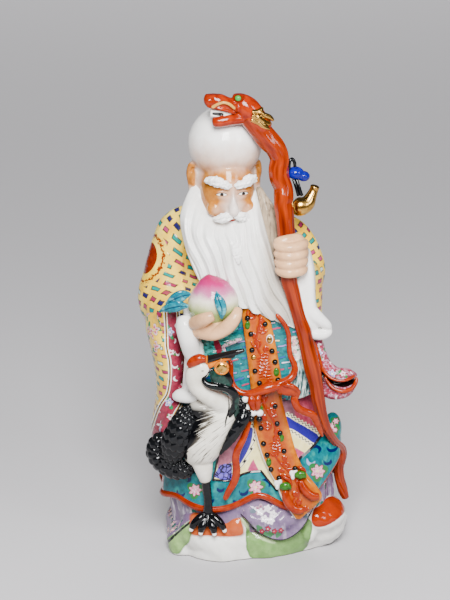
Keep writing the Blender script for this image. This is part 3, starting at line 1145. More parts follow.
# The staff from its foot to the dragon's jaw: (across, down, y) and half width
STAFF_KEYS = [(346, 499, -12, 3), (343, 490, -12, 4.6), (339.5, 478, -12, 4.7), (339, 467, -12, 4.8),
    (341.5, 456, -13, 5), (340.5, 447.5, -18, 4.6), (333.8, 440, -34, 4),
    (326.5, 428.5, -46, 4.6), (322, 416, -50, 5.4), (318.2, 400, -53, 6.6),
    (315.8, 384, -55, 6.6), (312.2, 368, -57, 7.7), (306.6, 344, -58, 7.1),
    (303.4, 330, -58, 7.1), (298.2, 314, -58, 6.4), (292.3, 292, -58, 7), (288.5, 278, -58, 7.6),
    (288, 255, -57, 7.6), (286.5, 235, -55, 8), (284.8, 215, -51, 8.3), (283.2, 204, -49, 8.5),
    (283.8, 196, -48, 8.9), (283.2, 187, -46, 8.4), (279.2, 177, -45, 8.9),
    (278.4, 168, -44, 8.9), (279.6, 158, -43, 8.6), (275.5, 148, -43, 9.2),
    (266.5, 138, -43, 9.7), (257, 126, -44, 9.9), (247, 113, -45, 10)]


def staff_grid(along=320, around=46):
    """Gnarled wood: long facets, knots and shallow grooves along the grain."""
    grid = sweep(spots(*(key[:3] for key in STAFF_KEYS)), [(key[3], key[3]) for key in STAFF_KEYS],
        along=along, around=around, ends=(0.012, 0.01))
    a = np.arange(around)[None] / around * TAU
    v = np.linspace(0, 1, along + 1)[:, None]
    facets = 0.42 * np.abs(np.sin(2.5 * (a + 1.2 * np.sin(7 * v) + 6 * v)))
    grain = 0.22 * np.sin(9 * a + 14 * np.sin(4 * v) + 5 * v)
    chance = np.random.default_rng(8)
    knots = 0
    for _ in range(20):
        where, facing = chance.uniform(0, 1), chance.uniform(0, TAU)
        off = np.angle(np.exp(1j * (a - facing)))
        knots = knots + chance.uniform(-0.9, 0.8) * np.exp(-((v - where) / 0.016) ** 2 - (off / 0.5) ** 2)
    amount = facets - 0.5 + grain + knots
    return swell(grid, amount), amount


staff_points, staff_height = staff_grid()
staff = tube_piece("staff", staff_points, {"height": staff_height})


def paint_staff(tree):
    """Iron red run thin on the ridges and gathered brown in the grooves, with brush streaks."""
    place = add(tree, "UVMap", uv_map="millimetres")
    streak = add(tree, "TexNoise", add(tree, "VectorMath", place, (0.28, 0.02, 0), operation="MULTIPLY"),
        Scale=1.0, Detail=3.0)
    colour = lay(tree, "#942e00", (streak, 0.4, 0.65, "#741a00"))
    low = add(tree, "MapRange", "height", -1.2, 0.0, 0.9, 0.0)
    colour = add(tree, "Mix", low, colour, "#440a00", data_type="RGBA")
    ridge = add(tree, "MapRange", "height", 0.25, 0.9, 0.0, 0.55)
    return add(tree, "Mix", ridge, colour, "#a84200", data_type="RGBA"), streak


STAFF_RED = glazed("iron_red_enamel_streaked_along_the_wood", paint_staff, roughness=0.14, relief=0.3)
dress(staff, STAFF_RED)

# Dragon's head at the top of the staff
skull_forms = [sweep(spots((235, 104, -47), (240, 103.5, -46), (248, 109, -46), (256, 119, -45),
        (265, 131, -44)), [(7, 7), (9, 8.5), (10.3, 9.6), (9.8, 9.4), (8.6, 8.6)], along=60, around=48),
    sweep(spots((238, 104.5, -47), (229, 104, -50), (220, 101.5, -51), (212, 99.8, -51),
        (207.5, 100, -51)), [(7, 7), (5.6, 6.8), (6.6, 7), (6.9, 6.6), (5.6, 5.6)], along=60, around=44,
        ends=(0.06, 0.2)),
    ball(spot(210, 99.8, -51), (5.5, 5.5, 6.8), around=36, down=24),
    sweep(spots((243, 118, -46), (231, 119.3, -50), (221, 121.2, -52), (212, 122, -52)),
        [(5.4, 6.2), (5.4, 6), (5.2, 5.6), (5, 5)], along=50, around=36, ends=(0.06, 0.2)),
    ball(spot(238.5, 97.5, -50), (5.4, 6.4, 4.8), around=30, down=20),
    sweep(spots((212, 107, -55.5), (217, 104.8, -57.5), (223, 102.6, -58.5), (229, 104, -58),
        (234, 108, -56), (237, 112, -53)), [(1, 1.1), (1.3, 1.4), (1.6, 1.6), (1.6, 1.6), (1.4, 1.4),
        (0.8, 0.8)], along=50, around=18),
    sweep(spots((207, 106, -54), (214, 107.6, -56), (224, 109.8, -57), (235, 113.6, -54)),
        [(1.2, 1.2), (1.5, 1.5), (1.5, 1.5), (1, 1)], along=40, around=16)]
dragon = fused_piece("dragon_head", skull_forms, 0.65, 1)
where = places(dragon)
# The brow is pressed in under the figure's height
TOP, BROW_TOP = 430, 431.8
height = where[:, 2]
where[:, 2] = np.minimum(height, TOP - 0.2 * np.clip(BROW_TOP - height, 0, 2))
move(dragon, where)
DRAGON_EYE = spot(238, 98.2, -56)
push(dragon, -1.8 * hill(where, spot(210.5, 99.3, -57.5), (1.7, 3, 2.0))
    - 1.6 * hill(where, spot(238.2, 105, -55), (1.8, 3, 1.6))
    + 0.9 * hill(where, DRAGON_EYE, (3.0, 4, 2.8)))
mark(dragon, "lip", path_distance(places(dragon), spots((213, 107, -57), (217, 104.8, -58.5),
        (223, 102.6, -60), (229, 104, -59.5), (234, 108, -57))))
mark(dragon, "eye", np.linalg.norm((places(dragon) - DRAGON_EYE) * (0.9, 0.4, 1.0), axis=1))


def paint_dragon(tree):
    """Iron red, darker where it is thick, with a gilt lip and a green eye ringed in brown."""
    place = drawn_place(tree)
    colour = tone(tree, place, "#942800", "#6c1000", 6.0)
    lip = add(tree, "Math", 1.3, "lip", operation="SUBTRACT")
    colour = lay(tree, colour, (lip, -0.25, 0.25, "#b98a40"))
    rim = add(tree, "Math", 2.9, "eye", operation="SUBTRACT")
    colour = lay(tree, colour, (rim, -0.25, 0.25, "#470600"))
    ring = add(tree, "Math", 2.3, "eye", operation="SUBTRACT")
    return lay(tree, colour, (ring, -0.25, 0.25, "#348938")), None


dress(dragon, glazed("iron_red_enamel_with_painted_eye", paint_dragon, roughness=0.12))

gums = tube_piece("dragon_gums", sweep(spots((237, 113.8, -46), (228, 113, -48.5), (219, 113, -50),
        (210, 112.8, -50)), [(2.6, 4), (3.6, 5), (4.4, 5.4), (4, 4.2)], along=60, around=48))
slot = path_distance(places(gums), spots((213.5, 114.2, -56), (218, 114.6, -56), (221.5, 115, -55)))
push(gums, -2.2 * step(2.6, 0.8, slot))
mark(gums, "slot", slot)


def paint_gums(tree):
    """Warm white with a black slot between the gums."""
    place = drawn_place(tree)
    inside = add(tree, "Math", 2.0, "slot", operation="SUBTRACT")
    return lay(tree, tone(tree, place, "#efece6", "#d1cabf", 6.0), (inside, -0.25, 0.25, "#171212")), None


dress(gums, glazed("white_glaze_with_a_black_slot", paint_gums))

MANE = [[(251.5, 112, -55), (258.5, 112, -53), (264.5, 115, -51), (270, 117.5, -49), (273.8, 121, -48)],
    [(251.5, 115.5, -56), (257.5, 117.2, -55), (263.5, 121.5, -52), (268, 123.4, -50), (271, 122.6, -49)],
    [(251, 119, -55), (259, 122.8, -54), (265.5, 127.2, -52), (269.6, 129.6, -50)],
    [(257, 112.5, -53), (260.5, 110.6, -52), (262.6, 107, -51)]]
curl_forms = [hair_strands(sweep(spots(*curl), [(2.0, 1.8)] + [(2.3, 2)] * (len(curl) - 2) + [(0.8, 0.8)],
        along=60, around=24), 5, 0.25, n) for n, curl in enumerate(MANE)]
mane = fused_piece("gilt_mane", curl_forms, 0.45, 1)
dress(mane, GOLD)

# Gourd bottle, knotted cloth and tie behind the staff
gourd = tube_piece("gourd_bottle", sweep(spots((292, 206, -33), (300, 206.5, -33), (307, 203, -32),
        (311.2, 196, -31), (313.8, 190, -30), (315.4, 185, -30)),
        [(7, 6.5), (8.4, 8), (7.2, 7), (4.9, 4.9), (4, 4), (4.3, 4.3)], along=80, around=44,
        ends=(0.14, 0.1)))
dress(gourd, GOLD)
knot_forms = [ball(spot(295.5, 173, -38), (7.4, 6.5, 5.8), around=44, down=30),
    ball(spot(303.5, 176.2, -37), (5.6, 5.5, 4.6), around=44, down=30)]
knot = fused_piece("blue_knot", knot_forms, 0.6, 2)

# Deep violet blue
BLUE = glazed("cobalt_blue_enamel", plain("#09118e", "#090c4a", 4.0))
dress(knot, BLUE)
TIES = [[(296.5, 179, -38), (299, 187, -40), (302, 196, -40)],
    [(293.5, 179, -37), (296, 187, -39), (298.5, 196, -39)],
    [(289, 170, -40), (289.5, 162, -40), (292, 159, -39), (294.5, 162.5, -39), (295, 168, -38)]]
for n, line in enumerate(TIES):
    dress(tube_piece(f"gourd_tie_{n + 1}", sweep(spots(*line), [(1.5, 1.4)] * len(line), along=50,
            around=14)), BLACK)


# Linings, inner garment and the flared end of the right sleeve

def folded(grid, folds, depth, phase=0.0):
    """Soft lengthwise folds in a closed form."""
    rows, cols = grid.shape[:2]
    a = np.arange(cols)[None] / cols * TAU
    v = np.linspace(0, 1, rows)[:, None]
    return swell(grid, depth * (np.cos(folds * a + phase + 1.5 * v) - 1)
        * np.sin(np.pi * np.clip(v, 0.02, 0.98)) ** 0.5)


left_lining = fused_piece("left_sleeve_lining", [sweep(spots((184, 316, -67), (185, 326, -71),
        (188, 338, -71), (192, 352, -66), (195, 364, -62)),
        [(6, 6.5), (8.2, 8.6), (8.6, 8.8), (8, 8), (5, 5)], along=60, around=48),
        folded(sweep([(-57, -57, 244), (-54, -60, 222), (-51, -62, 198), (-52, -61, 174),
        (-55, -60, 160)], [(6, 8), (7.5, 9), (10, 8.5), (10.5, 8), (9, 7)], along=80, around=60), 5, 0.7,
        0.8),
        sweep(spots((175.5, 396, -60), (181, 395.5, -65), (190, 396, -68), (199, 394, -67),
        (206, 388, -62)), [(4, 4.6), (6.4, 6.2), (6.6, 6.2), (5.4, 5), (3.4, 3.4)], along=60, around=44)],
    1.1, 2)
dress(left_lining, WHITE)
right_lining = fused_piece("right_sleeve_lining", [folded(sweep(
        [(42, -44, 292), (45, -49, 272), (46, -52, 246), (49, -52, 228), (52, -50, 212)],
        [(8, 8), (10.5, 9.5), (11, 9.5), (11, 9.5), (5, 5)], along=90, around=60), 4, 0.8, 2.0),
        sweep(spots((306, 306, -54), (313.5, 314.5, -56), (321, 320.5, -55), (327, 325, -53),
        (330.4, 329, -50)), [(6, 6), (6.6, 6), (5.4, 5.6), (4, 4.4), (1.8, 2.2)], along=60, around=40),
        sweep(spots((306, 329, -52), (314, 333.6, -54), (322, 334.6, -54), (328, 332.6, -52),
        (330.8, 329.6, -49)), [(5, 5), (5, 5), (4.6, 4.8), (3.6, 3.8), (1.6, 2)], along=60, around=40),
        ball(spot(319, 328, -46), (11, 5.4, 9), around=44, down=30)], 1.0, 1)
dress(right_lining, WHITE)


def paint_garment(tree):
    """Turquoise with rows of short tilted strokes, a flowery strip and grey streaks at the right."""
    place = add(tree, "UVMap", uv_map="millimetres")
    ground = tone(tree, place, "#0e7e82", "#04565a", 5.0)
    colour, raised = dashes(tree, place, ground, (12.5, 5.6), (4.9, 1.25), -0.16,
        ["#b8305a", "#0a5a62", "#efe3a6", "#9a84c4", "#0a6068", "#b02c50", "#e6e0f0", "#2a4a9a"],
        outline="#14606a", seed=3.0)
    flowers = blossoms(tree, place, "#e6e2d6", 6.0, 2.6, "#d2607e", "#efe0a0", "#3f8a62", seed=2.0)
    streaks = add(tree, "TexNoise", add(tree, "VectorMath", place, (0.5, 0.1, 0), operation="MULTIPLY"),
        Scale=1.0, Detail=2.0)
    grey = lay(tree, "#c9d3cc", (streaks, 0.42, 0.5, "#6d8a86"), (streaks, 0.54, 0.6, "#1f3a3c"))
    return lay(tree, colour, ("flowers", -0.6, 0.6, flowers), ("streaks", -0.6, 0.6, grey)), raised


garment_grid = folded(sweep([(3, -30, 266), (4, -31, 244), (4, -32, 220), (5, -32, 196), (6, -33, 172),
        (8, -32, 148)], [(42, 20), (50, 22), (54, 23), (54, 23), (53, 23), (48, 22)], along=84,
        around=200, square=4.0), 11, 0.9, 1.0)
seen = front(garment_grid).reshape(-1, 2)
shape = garment_grid.shape[:2]
garment = tube_piece("inner_garment", garment_grid, {"flowers": patch(seen,
        [(290, 338), (299, 338), (302, 352), (301, 366), (295, 366), (291, 352)]).reshape(shape),
        "streaks": patch(seen, [(292, 366), (304, 362), (308, 404), (290, 404), (288, 384)]).reshape(
        shape)})
dress(garment, glazed("turquoise_enamel_with_short_strokes", paint_garment))

fold_forms = [sweep(spots(*keys), [(half * 0.7, 3), (half, 4.4), (half * 0.6, 3)], along=44, around=26)
    for keys, half in ((((201, 340, -60), (216, 338, -64), (238, 326, -62)), 5.0),
        (((203, 349, -61), (222, 343, -65), (242, 337, -62)), 4.6),
        (((202, 358, -60), (212, 353, -64), (226, 350, -62)), 4.0))]
folds = fused_piece("folds_under_the_hand", fold_forms, 0.8, 2)
flat_uv(folds)
seen = front(places(folds))
mark(folds, "maroon", patch(seen, [(213, 338), (217, 338), (222, 350), (217, 353)]))
mark(folds, "flowers", patch(seen, [(226, 343), (242, 338), (245, 350), (228, 352), (222, 348)]))


def paint_folds(tree):
    """Green gathered dark in the folds, with a maroon fold and a few pink and white petals."""
    place = drawn_place(tree)
    ground = tone(tree, place, "#2f9a96", "#11493a", 4.0)
    streaks = add(tree, "TexNoise", add(tree, "VectorMath", place, (0.16, 0.16, 0.5),
            operation="MULTIPLY"), Scale=1.0, Detail=2.0)
    flat = add(tree, "UVMap", uv_map="millimetres")
    petals = blossoms(tree, flat, "#c8a8b8", 4.6, 2.3, "#b84868", "#f2e6e6", "#3a7a58", seed=4.0)
    return lay(tree, ground, (streaks, 0.5, 0.6, "#0a2e26", 0.9), ("flowers", -0.6, 0.6, petals),
        ("maroon", -0.4, 0.4, "#7a1c30")), None


dress(folds, glazed("dark_green_enamel_in_the_folds", paint_folds))

# The end of the right sleeve: a pouch with a crescent mouth and a rolled edge on either side of it
cuff = fused_piece("right_sleeve_end", [sweep(spots((315, 332, -36), (320, 350, -43), (325.5, 364.5, -46),
        (336, 374, -48), (347.6, 374.4, -47), (356.6, 375, -43)),
        [(3.6, 6), (5, 7.4), (5.4, 8), (6.2, 8), (5.6, 7), (1.6, 2.6)], along=70, around=50),
        sweep(spots((321, 384, -40), (328, 390.5, -45), (338, 392, -49), (347.6, 389, -48),
        (356.2, 380, -43)), [(4, 4), (6.4, 7), (6.6, 8), (5.6, 6.4), (2, 2.6)], along=60, around=44),
        ball(spot(338, 382, -38), (16, 9, 10), around=50, down=36)], 1.0, 1)
mouth = path_distance(places(cuff), spots((327.5, 377, -54), (335, 382.6, -56), (344, 384.4, -56),
        (351.5, 382, -55), (357, 378, -51)) + (0, 2.5, 0))
push(cuff, -4.5 * step(4.2, 1.2, mouth))
flat_uv(cuff)
mark(cuff, "mouth", stripe(front(places(cuff)), [(326.5, 377), (334, 382), (343, 384), (351, 382),
        (357.5, 377.5)], [1.4, 2.8, 3.2, 2.6, 1.2]))


def paint_cuff(tree):
    """The robe's pink cloth with pale blooms, black inside the mouth."""
    place = add(tree, "UVMap", uv_map="millimetres")
    colour = paint_pink_cloth(tree, place)
    bloom = add(tree, "TexNoise", place, Scale=0.35, Detail=3.0, Roughness=0.7)
    colour = lay(tree, colour, (bloom, 0.48, 0.6, "#c9a0b4", 0.7))
    return lay(tree, colour, ("mouth", -0.3, 0.3, "#140a08")), None


dress(cuff, glazed("maroon_pink_enamel_with_sprays", paint_cuff))
upper_rim = sweep(spots((308, 336, -46), (311.5, 342, -49), (315.5, 352, -51), (319.5, 363, -52),
        (325, 372, -54), (332, 378.5, -57), (341, 380.6, -58.5), (349, 379, -57), (355, 375, -51)),
    [(2.2, 2), (3.2, 2.2), (3.6, 2.2), (2.8, 2), (1.8, 1.7), (1.3, 1.4), (1.3, 1.4), (1.3, 1.4),
        (1.2, 1.2)], along=90, around=20)
lower_rim = sweep(spots((324.5, 376, -53), (328.5, 383, -55), (334, 388.5, -57), (343, 391.4, -58),
        (351.4, 388.6, -56), (356, 382, -52), (356.4, 377, -50)),
    [(1, 1.2), (1.5, 1.6), (1.8, 1.8), (2, 2), (2, 1.9), (1.8, 1.7), (1.2, 1.2)], along=80, around=20)
dress(fused_piece("sleeve_rims", [upper_rim, lower_rim], 0.55, 1), IRON_RED)

# The apron: rows of (down, left edge, right edge) as they show from the front, and depth
APRON = [(300, 243, 264, -54), (318, 242, 270, -56), (340, 245, 275, -57), (362, 248, 279, -58),
    (382, 250, 282, -58), (400, 252, 282, -58.5), (415, 253, 286, -59), (430, 254, 290, -59.5),
    (445, 258, 294, -60), (460, 263, 299, -61), (474, 270, 307, -62), (486, 277, 317, -64),
    (496, 280, 324, -65), (508, 287, 313, -66), (519, 296, 299, -66)]
APRON_STAND = 4.0


def spiral(centre, radius, turns, start, hand, points=34):
    """A curl that winds in to its centre, flat, in millimetres."""
    s = np.linspace(0, 1, points)
    r = radius * (1 - 0.85 * s)
    a = start + hand * turns * TAU * s
    return np.stack([centre[0] + r * np.cos(a), centre[1] + r * np.sin(a)], -1)


def scroll_relief(u, v):
    """Raised scrollwork down the middle: u across and v down, in millimetres."""
    chance = np.random.default_rng(5)
    lines = []
    for n, at in enumerate(np.arange(12, 196, 13.0)):
        hand = 1 if n % 2 else -1
        lines.append(spiral((hand * 3.2, at), 4.6, 1.4, chance.uniform(0, 1)
                + (0 if hand > 0 else math.pi), hand))
        lines.append(spiral((-hand * 4.6, at + 6), 2.6, 1.1, chance.uniform(0, 6), -hand, 20))
    stem = np.arange(4, 200, 0.8)
    lines.append(np.stack([3.4 * np.sin(stem / 8.3), stem], -1))
    best = np.full(u.shape, 1e9)
    for x, y in np.concatenate(lines):
        best = np.minimum(best, (u - x) ** 2 + (v - y) ** 2)
    height = np.exp(-best / 0.85 ** 2)
    for start, end in ((49, 73), (130, 144)):
        bent = v - start + 0.5 * np.sin(u * 0.8 + 0.4 * v) + 0.4 * np.sin(u * 0.35)
        ribs = 1.3 * (0.5 + 0.5 * np.cos(bent * TAU / 2.9)) * step(start, start + 3,
            v) * (1 - step(end - 3, end, v))
        height = np.maximum(height * (1 - step(start, start + 3, v) * (1 - step(end - 3, end, v))),
            ribs * np.exp(-(u / 5.2) ** 4))
    return height


def apron_piece(across=54, along=320, back=8):
    downs = np.linspace(APRON[0][0], APRON[-1][0], along)
    s = np.linspace(-1, 1, across)
    shares = np.concatenate([s, np.linspace(1, -1, back + 2)[1:-1]])
    grid = np.zeros((along, len(shares), 3))
    rows = np.asarray(APRON, float)
    left, right, depth = (np.interp(downs, rows[:, 0], rows[:, n]) for n in (1, 2, 3))
    smooth = np.ones(15) / 15
    left, right, depth = (np.convolve(np.pad(v, 7, "edge"), smooth, "valid")
        for v in (left, right, depth))
    for i, d in enumerate(downs):
        for j, share in enumerate(shares):
            grid[i, j] = spot((left[i] + right[i]) / 2 + share * (right[i] - left[i]) / 2, d, depth[i])
    middle = (grid[:, 0] + grid[:, across - 1]) / 2
    v = np.concatenate([[0], np.cumsum(np.linalg.norm(np.diff(middle, axis=0), axis=-1))])[:, None]
    u = (grid[:, :across, 0] - middle[:, None, 0])
    relief = np.zeros(grid.shape[:2])
    relief[:, :across] = scroll_relief(u, np.broadcast_to(v, u.shape))
    pillow = (1 - np.abs(s) ** 5)[None]
    taper = (1 - np.clip(1 - (1 - np.linspace(0, 1, along)) / 0.02, 0, 1) ** 2) ** 0.5
    stand = np.zeros(grid.shape[:2])
    stand[:, :across] = APRON_STAND * (0.25 + 0.75 * pillow) + 1.2 * relief[:, :across]
    stand[:, across:] = -APRON_STAND
    grid[..., 1] -= stand * np.maximum(taper, 0.1)[:, None]
    rim = np.zeros(grid.shape[:2])
    half = (grid[:, across - 1, 0] - grid[:, 0, 0])[:, None] / 2
    rim[:, :across] = (1 - np.abs(s)[None]) * half
    side = np.zeros(grid.shape[:2])
    side[:, :across] = s[None]
    return grid[::-1], {"relief": relief[::-1], "rim": rim[::-1], "side": side[::-1]}


apron_points, apron_marks = apron_piece()
apron = tube_piece("apron", apron_points, apron_marks)


def paint_apron(tree):
    """Orange enamel, redder down the middle and brown at the belt, iron red on the raised scrolls, and
    a pale rim at the lower left edge."""
    place = drawn_place(tree)
    ground = tone(tree, place, "#c67204", "#a04c02", 7.0)
    down = add(tree, "SeparateXYZ", place).node.outputs["Z"]
    belt = add(tree, "Math", add(tree, "Math", down, 147.0, operation="SUBTRACT"), operation="ABSOLUTE")
    low = add(tree, "MapRange", down, 118.0, 130.0, 1.0, 0.0)
    rim = add(tree, "Math", 1.5, "rim", operation="SUBTRACT")
    side = add(tree, "MapRange", "side", -0.2, -0.5)
    pale = add(tree, "Math", add(tree, "Math", low, side, operation="MULTIPLY"),
        add(tree, "MapRange", rim, -0.25, 0.25), operation="MULTIPLY")
    return lay(tree, ground, ("rim", 3.0, 8.0, "#902402", 0.7), (belt, 20.0, 12.0, "#6e2a08", 0.75),
        ("relief", 0.1, 0.55, "#861a02", 0.85), (pale, 0.0, 1.0, "#e2dcd2")), None


dress(apron, glazed("orange_enamel_with_red_scrolls", paint_apron))


def apron_front(across, down, proud=0.0):
    """The point on the apron's face, or beside it, that shows there from the front."""
    rows = np.asarray(APRON, float)
    return spot(across, down, np.interp(down, rows[:, 0], rows[:, 3]) - APRON_STAND - proud)


# Shapes grown along a line or on points by node trees

def node_tree(name, sockets, kinds, links):
    """A tree for grow. sockets are (label, kind, default), kinds are {label: (kind, values)} and links
    are (label, output, label, input). The links end in the node named real."""
    tree = bpy.data.node_groups.new(name, "GeometryNodeTree")
    tree.interface.new_socket("Geometry", in_out="INPUT", socket_type="NodeSocketGeometry")
    for label, kind, default in sockets + [("Material", "Material", None)]:
        socket = tree.interface.new_socket(label, in_out="INPUT", socket_type="NodeSocket" + kind)
        socket.default_value = default
    tree.interface.new_socket("Geometry", in_out="OUTPUT", socket_type="NodeSocketGeometry")
    kinds = {"begin": ("NodeGroupInput", {}), "real": ("GeometryNodeRealizeInstances", {}),
        "coat": ("GeometryNodeSetMaterial", {}), "end": ("NodeGroupOutput", {}), **kinds}
    nodes = {}
    for label, (kind, values) in kinds.items():
        nodes[label] = tree.nodes.new(kind)
        for key, value in values.items():
            nodes[label].inputs[key].default_value = value
    for source, output, target, feed in links + [("real", 0, "coat", 0),
            ("begin", "Material", "coat", "Material"), ("coat", 0, "end", 0)]:
        tree.links.new(nodes[source].outputs[output], nodes[target].inputs[feed])
    return tree


def grow(piece, tree, values):
    """Runs the tree on the piece with these inputs and keeps the plain mesh that comes out."""
    made = piece.modifiers.new("made", "NODES")
    made.node_group = tree
    for item in tree.interface.items_tree:
        if item.in_out == "INPUT" and item.name in values:
            made[item.identifier] = values[item.name]
    return settle(piece)


# Beads: one ball on every point
bead_tree = node_tree("beads_on_points", [("Radius", "Float", 0.002)],
    {"ball": ("GeometryNodeMeshUVSphere", {"Segments": 16, "Rings": 10}),
        "spread": ("GeometryNodeInstanceOnPoints", {})}, [("begin", "Geometry", "spread", "Points"),
        ("begin", "Radius", "ball", "Radius"),
        ("ball", "Mesh", "spread", "Instance"),
        ("spread", 0, "real", 0)])

BEADS = [(247.5, 318), (265, 324), (251, 334), (252, 350), (272, 351), (275, 362), (255, 371), (278, 380),
    (259.5, 383), (275, 406), (277, 423.6), (261, 428), (280, 433), (263.5, 443.6), (284, 451),
    (267, 455), (271, 469.4), (279, 478), (295, 468.5)]
bead_points = new_piece("apron_beads", [apron_front(a, d, -0.2) for a, d in BEADS], [])
beads = grow(bead_points, bead_tree, {"Radius": 2.5 * MM, "Material": BLACK})
dress(beads, BLACK)

# Dark leaf green
GREEN = glazed("leaf_green_enamel", plain("#32681c", "#17420e", 3.0))
green_forms = [ball(apron_front(a, d, -0.8), (3.0, 1.8, 4.2), turn=lean, around=24, down=16)
    for a, d, lean in ((248, 325, 0.6), (276, 372, -0.3), (260.5, 409, 0.2), (281, 438, -0.2),
        (269, 462, 0.4))]
greens = fused_piece("green_dabs", green_forms, 0.5, 1)
dress(greens, GREEN)
gold_forms = [ball(apron_front(269.5, 339.6, 0.2), (2.5, 1.8, 3.5), around=24, down=16),
    ball(apron_front(253.7, 357.2, -0.4), (2.6, 1.8, 2.6), around=24, down=16)]
golds = fused_piece("gilt_dabs", gold_forms, 0.5, 1)
dress(golds, GOLD)

# Tassels: white and red petals, a green cap and a fat red tail
# Each one's petals, the middle of its cap, and its tail, as (across, down)
TASSELS = [((278.5, 484), (285.5, 488), [(285, 490), (286.5, 499), (290.5, 506), (297, 510),
        (304, 509.5)]),
    ((294, 474), (300.5, 476.5), [(300, 480), (303.5, 488), (308, 493.5), (314, 496.5), (319.5, 496)])]
tassel_tails, tassel_caps, tassel_petals = [], [], []
for top, cap, keys in TASSELS:
    path = [apron_front(a, d, 2.4) for a, d in keys]
    tassel_tails.append(sweep(path, [(2.6, 2.4), (3.9, 3.4), (4.1, 3.6), (3.9, 3.4), (3.2, 2.8)],
            along=60, around=32))
    tassel_caps.append(sweep([apron_front(cap[0] + a, cap[1] + d, 3.0)
            for a, d in ((-6, 0.6), (-3, -1.2), (2, -1.4), (6, 1))],
            [(0.8, 0.6), (3.6, 2.6), (3.8, 2.8), (0.8, 0.6)], along=40, around=32))
    tassel_petals += [ball(apron_front(top[0] + a, top[1] + d, 1.0), (2.1, 1.5, 2.7), turn=0.4, around=20,
            down=14) for a, d in ((-1, 3), (1.5, -2), (-2.4, -1))]
tassel_tails += [sweep(spots(*keys), [(0.8, 0.8), (1.6, 1.5), (1.8, 1.5), (0.8, 0.8)], along=36,
        around=18) for keys in (((281, 475, -66), (285, 477.5, -68), (289.5, 481, -68.5),
        (292, 486, -68)), ((297, 466.5, -66), (300, 467.5, -68), (303.5, 469.5, -68), (306, 472, -66)))]
dress(fused_piece("tassel_tails", tassel_tails, 0.6, 1), IRON_RED)
dress(fused_piece("tassel_caps", tassel_caps, 0.5, 1), GREEN)
tassel_petals.append(ball(apron_front(269.5, 339.2, -1.2), (3.4, 2.0, 4.6), around=26, down=18))
dress(fused_piece("tassel_petals", tassel_petals, 0.5, 1), WHITE)

# Girdle cords: a round section carried along each run, as wide as the run's width says
cord_tree = node_tree("cord_along_a_line", [], {"line": ("GeometryNodeMeshToCurve", {}),
        "width": ("GeometryNodeInputNamedAttribute", {"Name": "width"}),
        "ring": ("GeometryNodeCurvePrimitiveCircle", {"Resolution": 22, "Radius": 1.0}),
        "tube": ("GeometryNodeCurveToMesh", {"Fill Caps": True})}, [("begin", "Geometry", "line", "Mesh"),
        ("line", 0, "tube", "Curve"),
        ("width", "Attribute", "tube", "Scale"),
        ("ring", 0, "tube", "Profile Curve"),
        ("tube", 0, "real", 0)])

# Each key is (across, down, y, radius)
CORDS = [("right_cord", [(276, 314, -62, 1.6), (281, 319.5, -63, 2.1), (286, 327, -63.5, 2.1),
        (288.6, 335, -63, 2.1), (289, 344, -62, 2.2), (290.2, 355, -61, 2.4), (294, 363.5, -61, 2.7),
        (294.6, 371, -62, 3.0), (290, 378.5, -64, 3.4), (280, 384, -67, 3.8), (268, 389, -68.5, 3.6)]),
    ("belt", [(228.6, 358, -60, 1.6), (231, 365, -62, 2.0), (231, 374, -64, 2.2),
        (232.4, 383.5, -66, 2.5), (237.6, 390.6, -68, 2.9), (246, 393.4, -69.5, 3.0),
        (255, 392.4, -70, 3.7), (265, 389, -70, 4.8), (274, 386.6, -69, 4.6), (284, 385, -67, 3.0)])]
for name, keys in CORDS:
    run = spline(keys, np.linspace(0, 1, 90))
    piece = new_piece(name, spots(*run[:, :3]), [])
    piece.data.edges.add(len(run) - 1)
    piece.data.edges.foreach_set("vertices", [n for i in range(len(run) - 1) for n in (i, i + 1)])
    ends = np.minimum(np.linspace(0, 1, 90), np.linspace(1, 0, 90)) / 0.02
    mark(piece, "width", run[:, 3] * MM * np.sqrt(1 - (1 - np.clip(ends, 0.02, 1)) ** 2))
    grow(piece, cord_tree, {"Material": IRON_RED})
    dress(piece, IRON_RED)

# The bow's flat loop, folded over, and its tail, then the ribbon that hangs to the left
bow = fused_piece("bow", [sweep(spots((277, 390, -68), (283, 389, -71), (290, 390.5, -71.5),
        (296.5, 393, -69)), [(4.6, 2), (5.4, 2.2), (5.2, 2.2), (3.6, 2)], along=60, around=40,
        square=2.6),
        sweep(spots((280, 385.2, -69), (286, 384.8, -73), (293, 386.8, -73), (298, 391.5, -70),
        (297, 398, -67.5)), [(1.6, 1.8), (2.2, 2.2), (2.3, 2.2), (2.2, 2.2), (1.8, 1.8)], along=60,
        around=28),
        sweep(spots((293.5, 395, -68), (295, 402, -68.5), (298.5, 408.4, -68), (305.5, 412, -66.5),
        (312.4, 415, -65), (316.6, 422.6, -62), (320.4, 431, -59), (322.6, 437, -57)),
        [(2.6, 2), (3.4, 2.5), (3.6, 2.7), (3.5, 2.7), (3.6, 2.6), (3, 2.4), (2.2, 2), (1, 1)], along=90,
        around=34)], 0.7, 1)
dress(bow, IRON_RED)
ribbon = tube_piece("hanging_ribbon", sweep(spots((251, 416, -66), (248, 426, -69), (243.3, 438.6, -71),
        (237.6, 450, -72), (235.6, 460, -72), (236.6, 470, -71.5), (234.4, 481, -71.5),
        (228.6, 491.5, -71), (224.6, 500, -70)), [(2, 1.6), (2.4, 2), (3, 2.4), (3.3, 2.6), (3.3, 2.6),
        (3.5, 2.7), (3.4, 2.6), (2.9, 2.3), (2.3, 1.8)], along=130, around=36, square=2.3))
dress(ribbon, IRON_RED)
petals = fused_piece("knot_petals", [ball(spot(a, d, -70), (3.4, 2.6, 3.1), turn=0.4, around=26, down=18)
        for a, d in ((245.4, 399.4), (246.4, 407.8), (253, 413), (259.8, 413))], 0.5, 1)
dress(petals, WHITE)
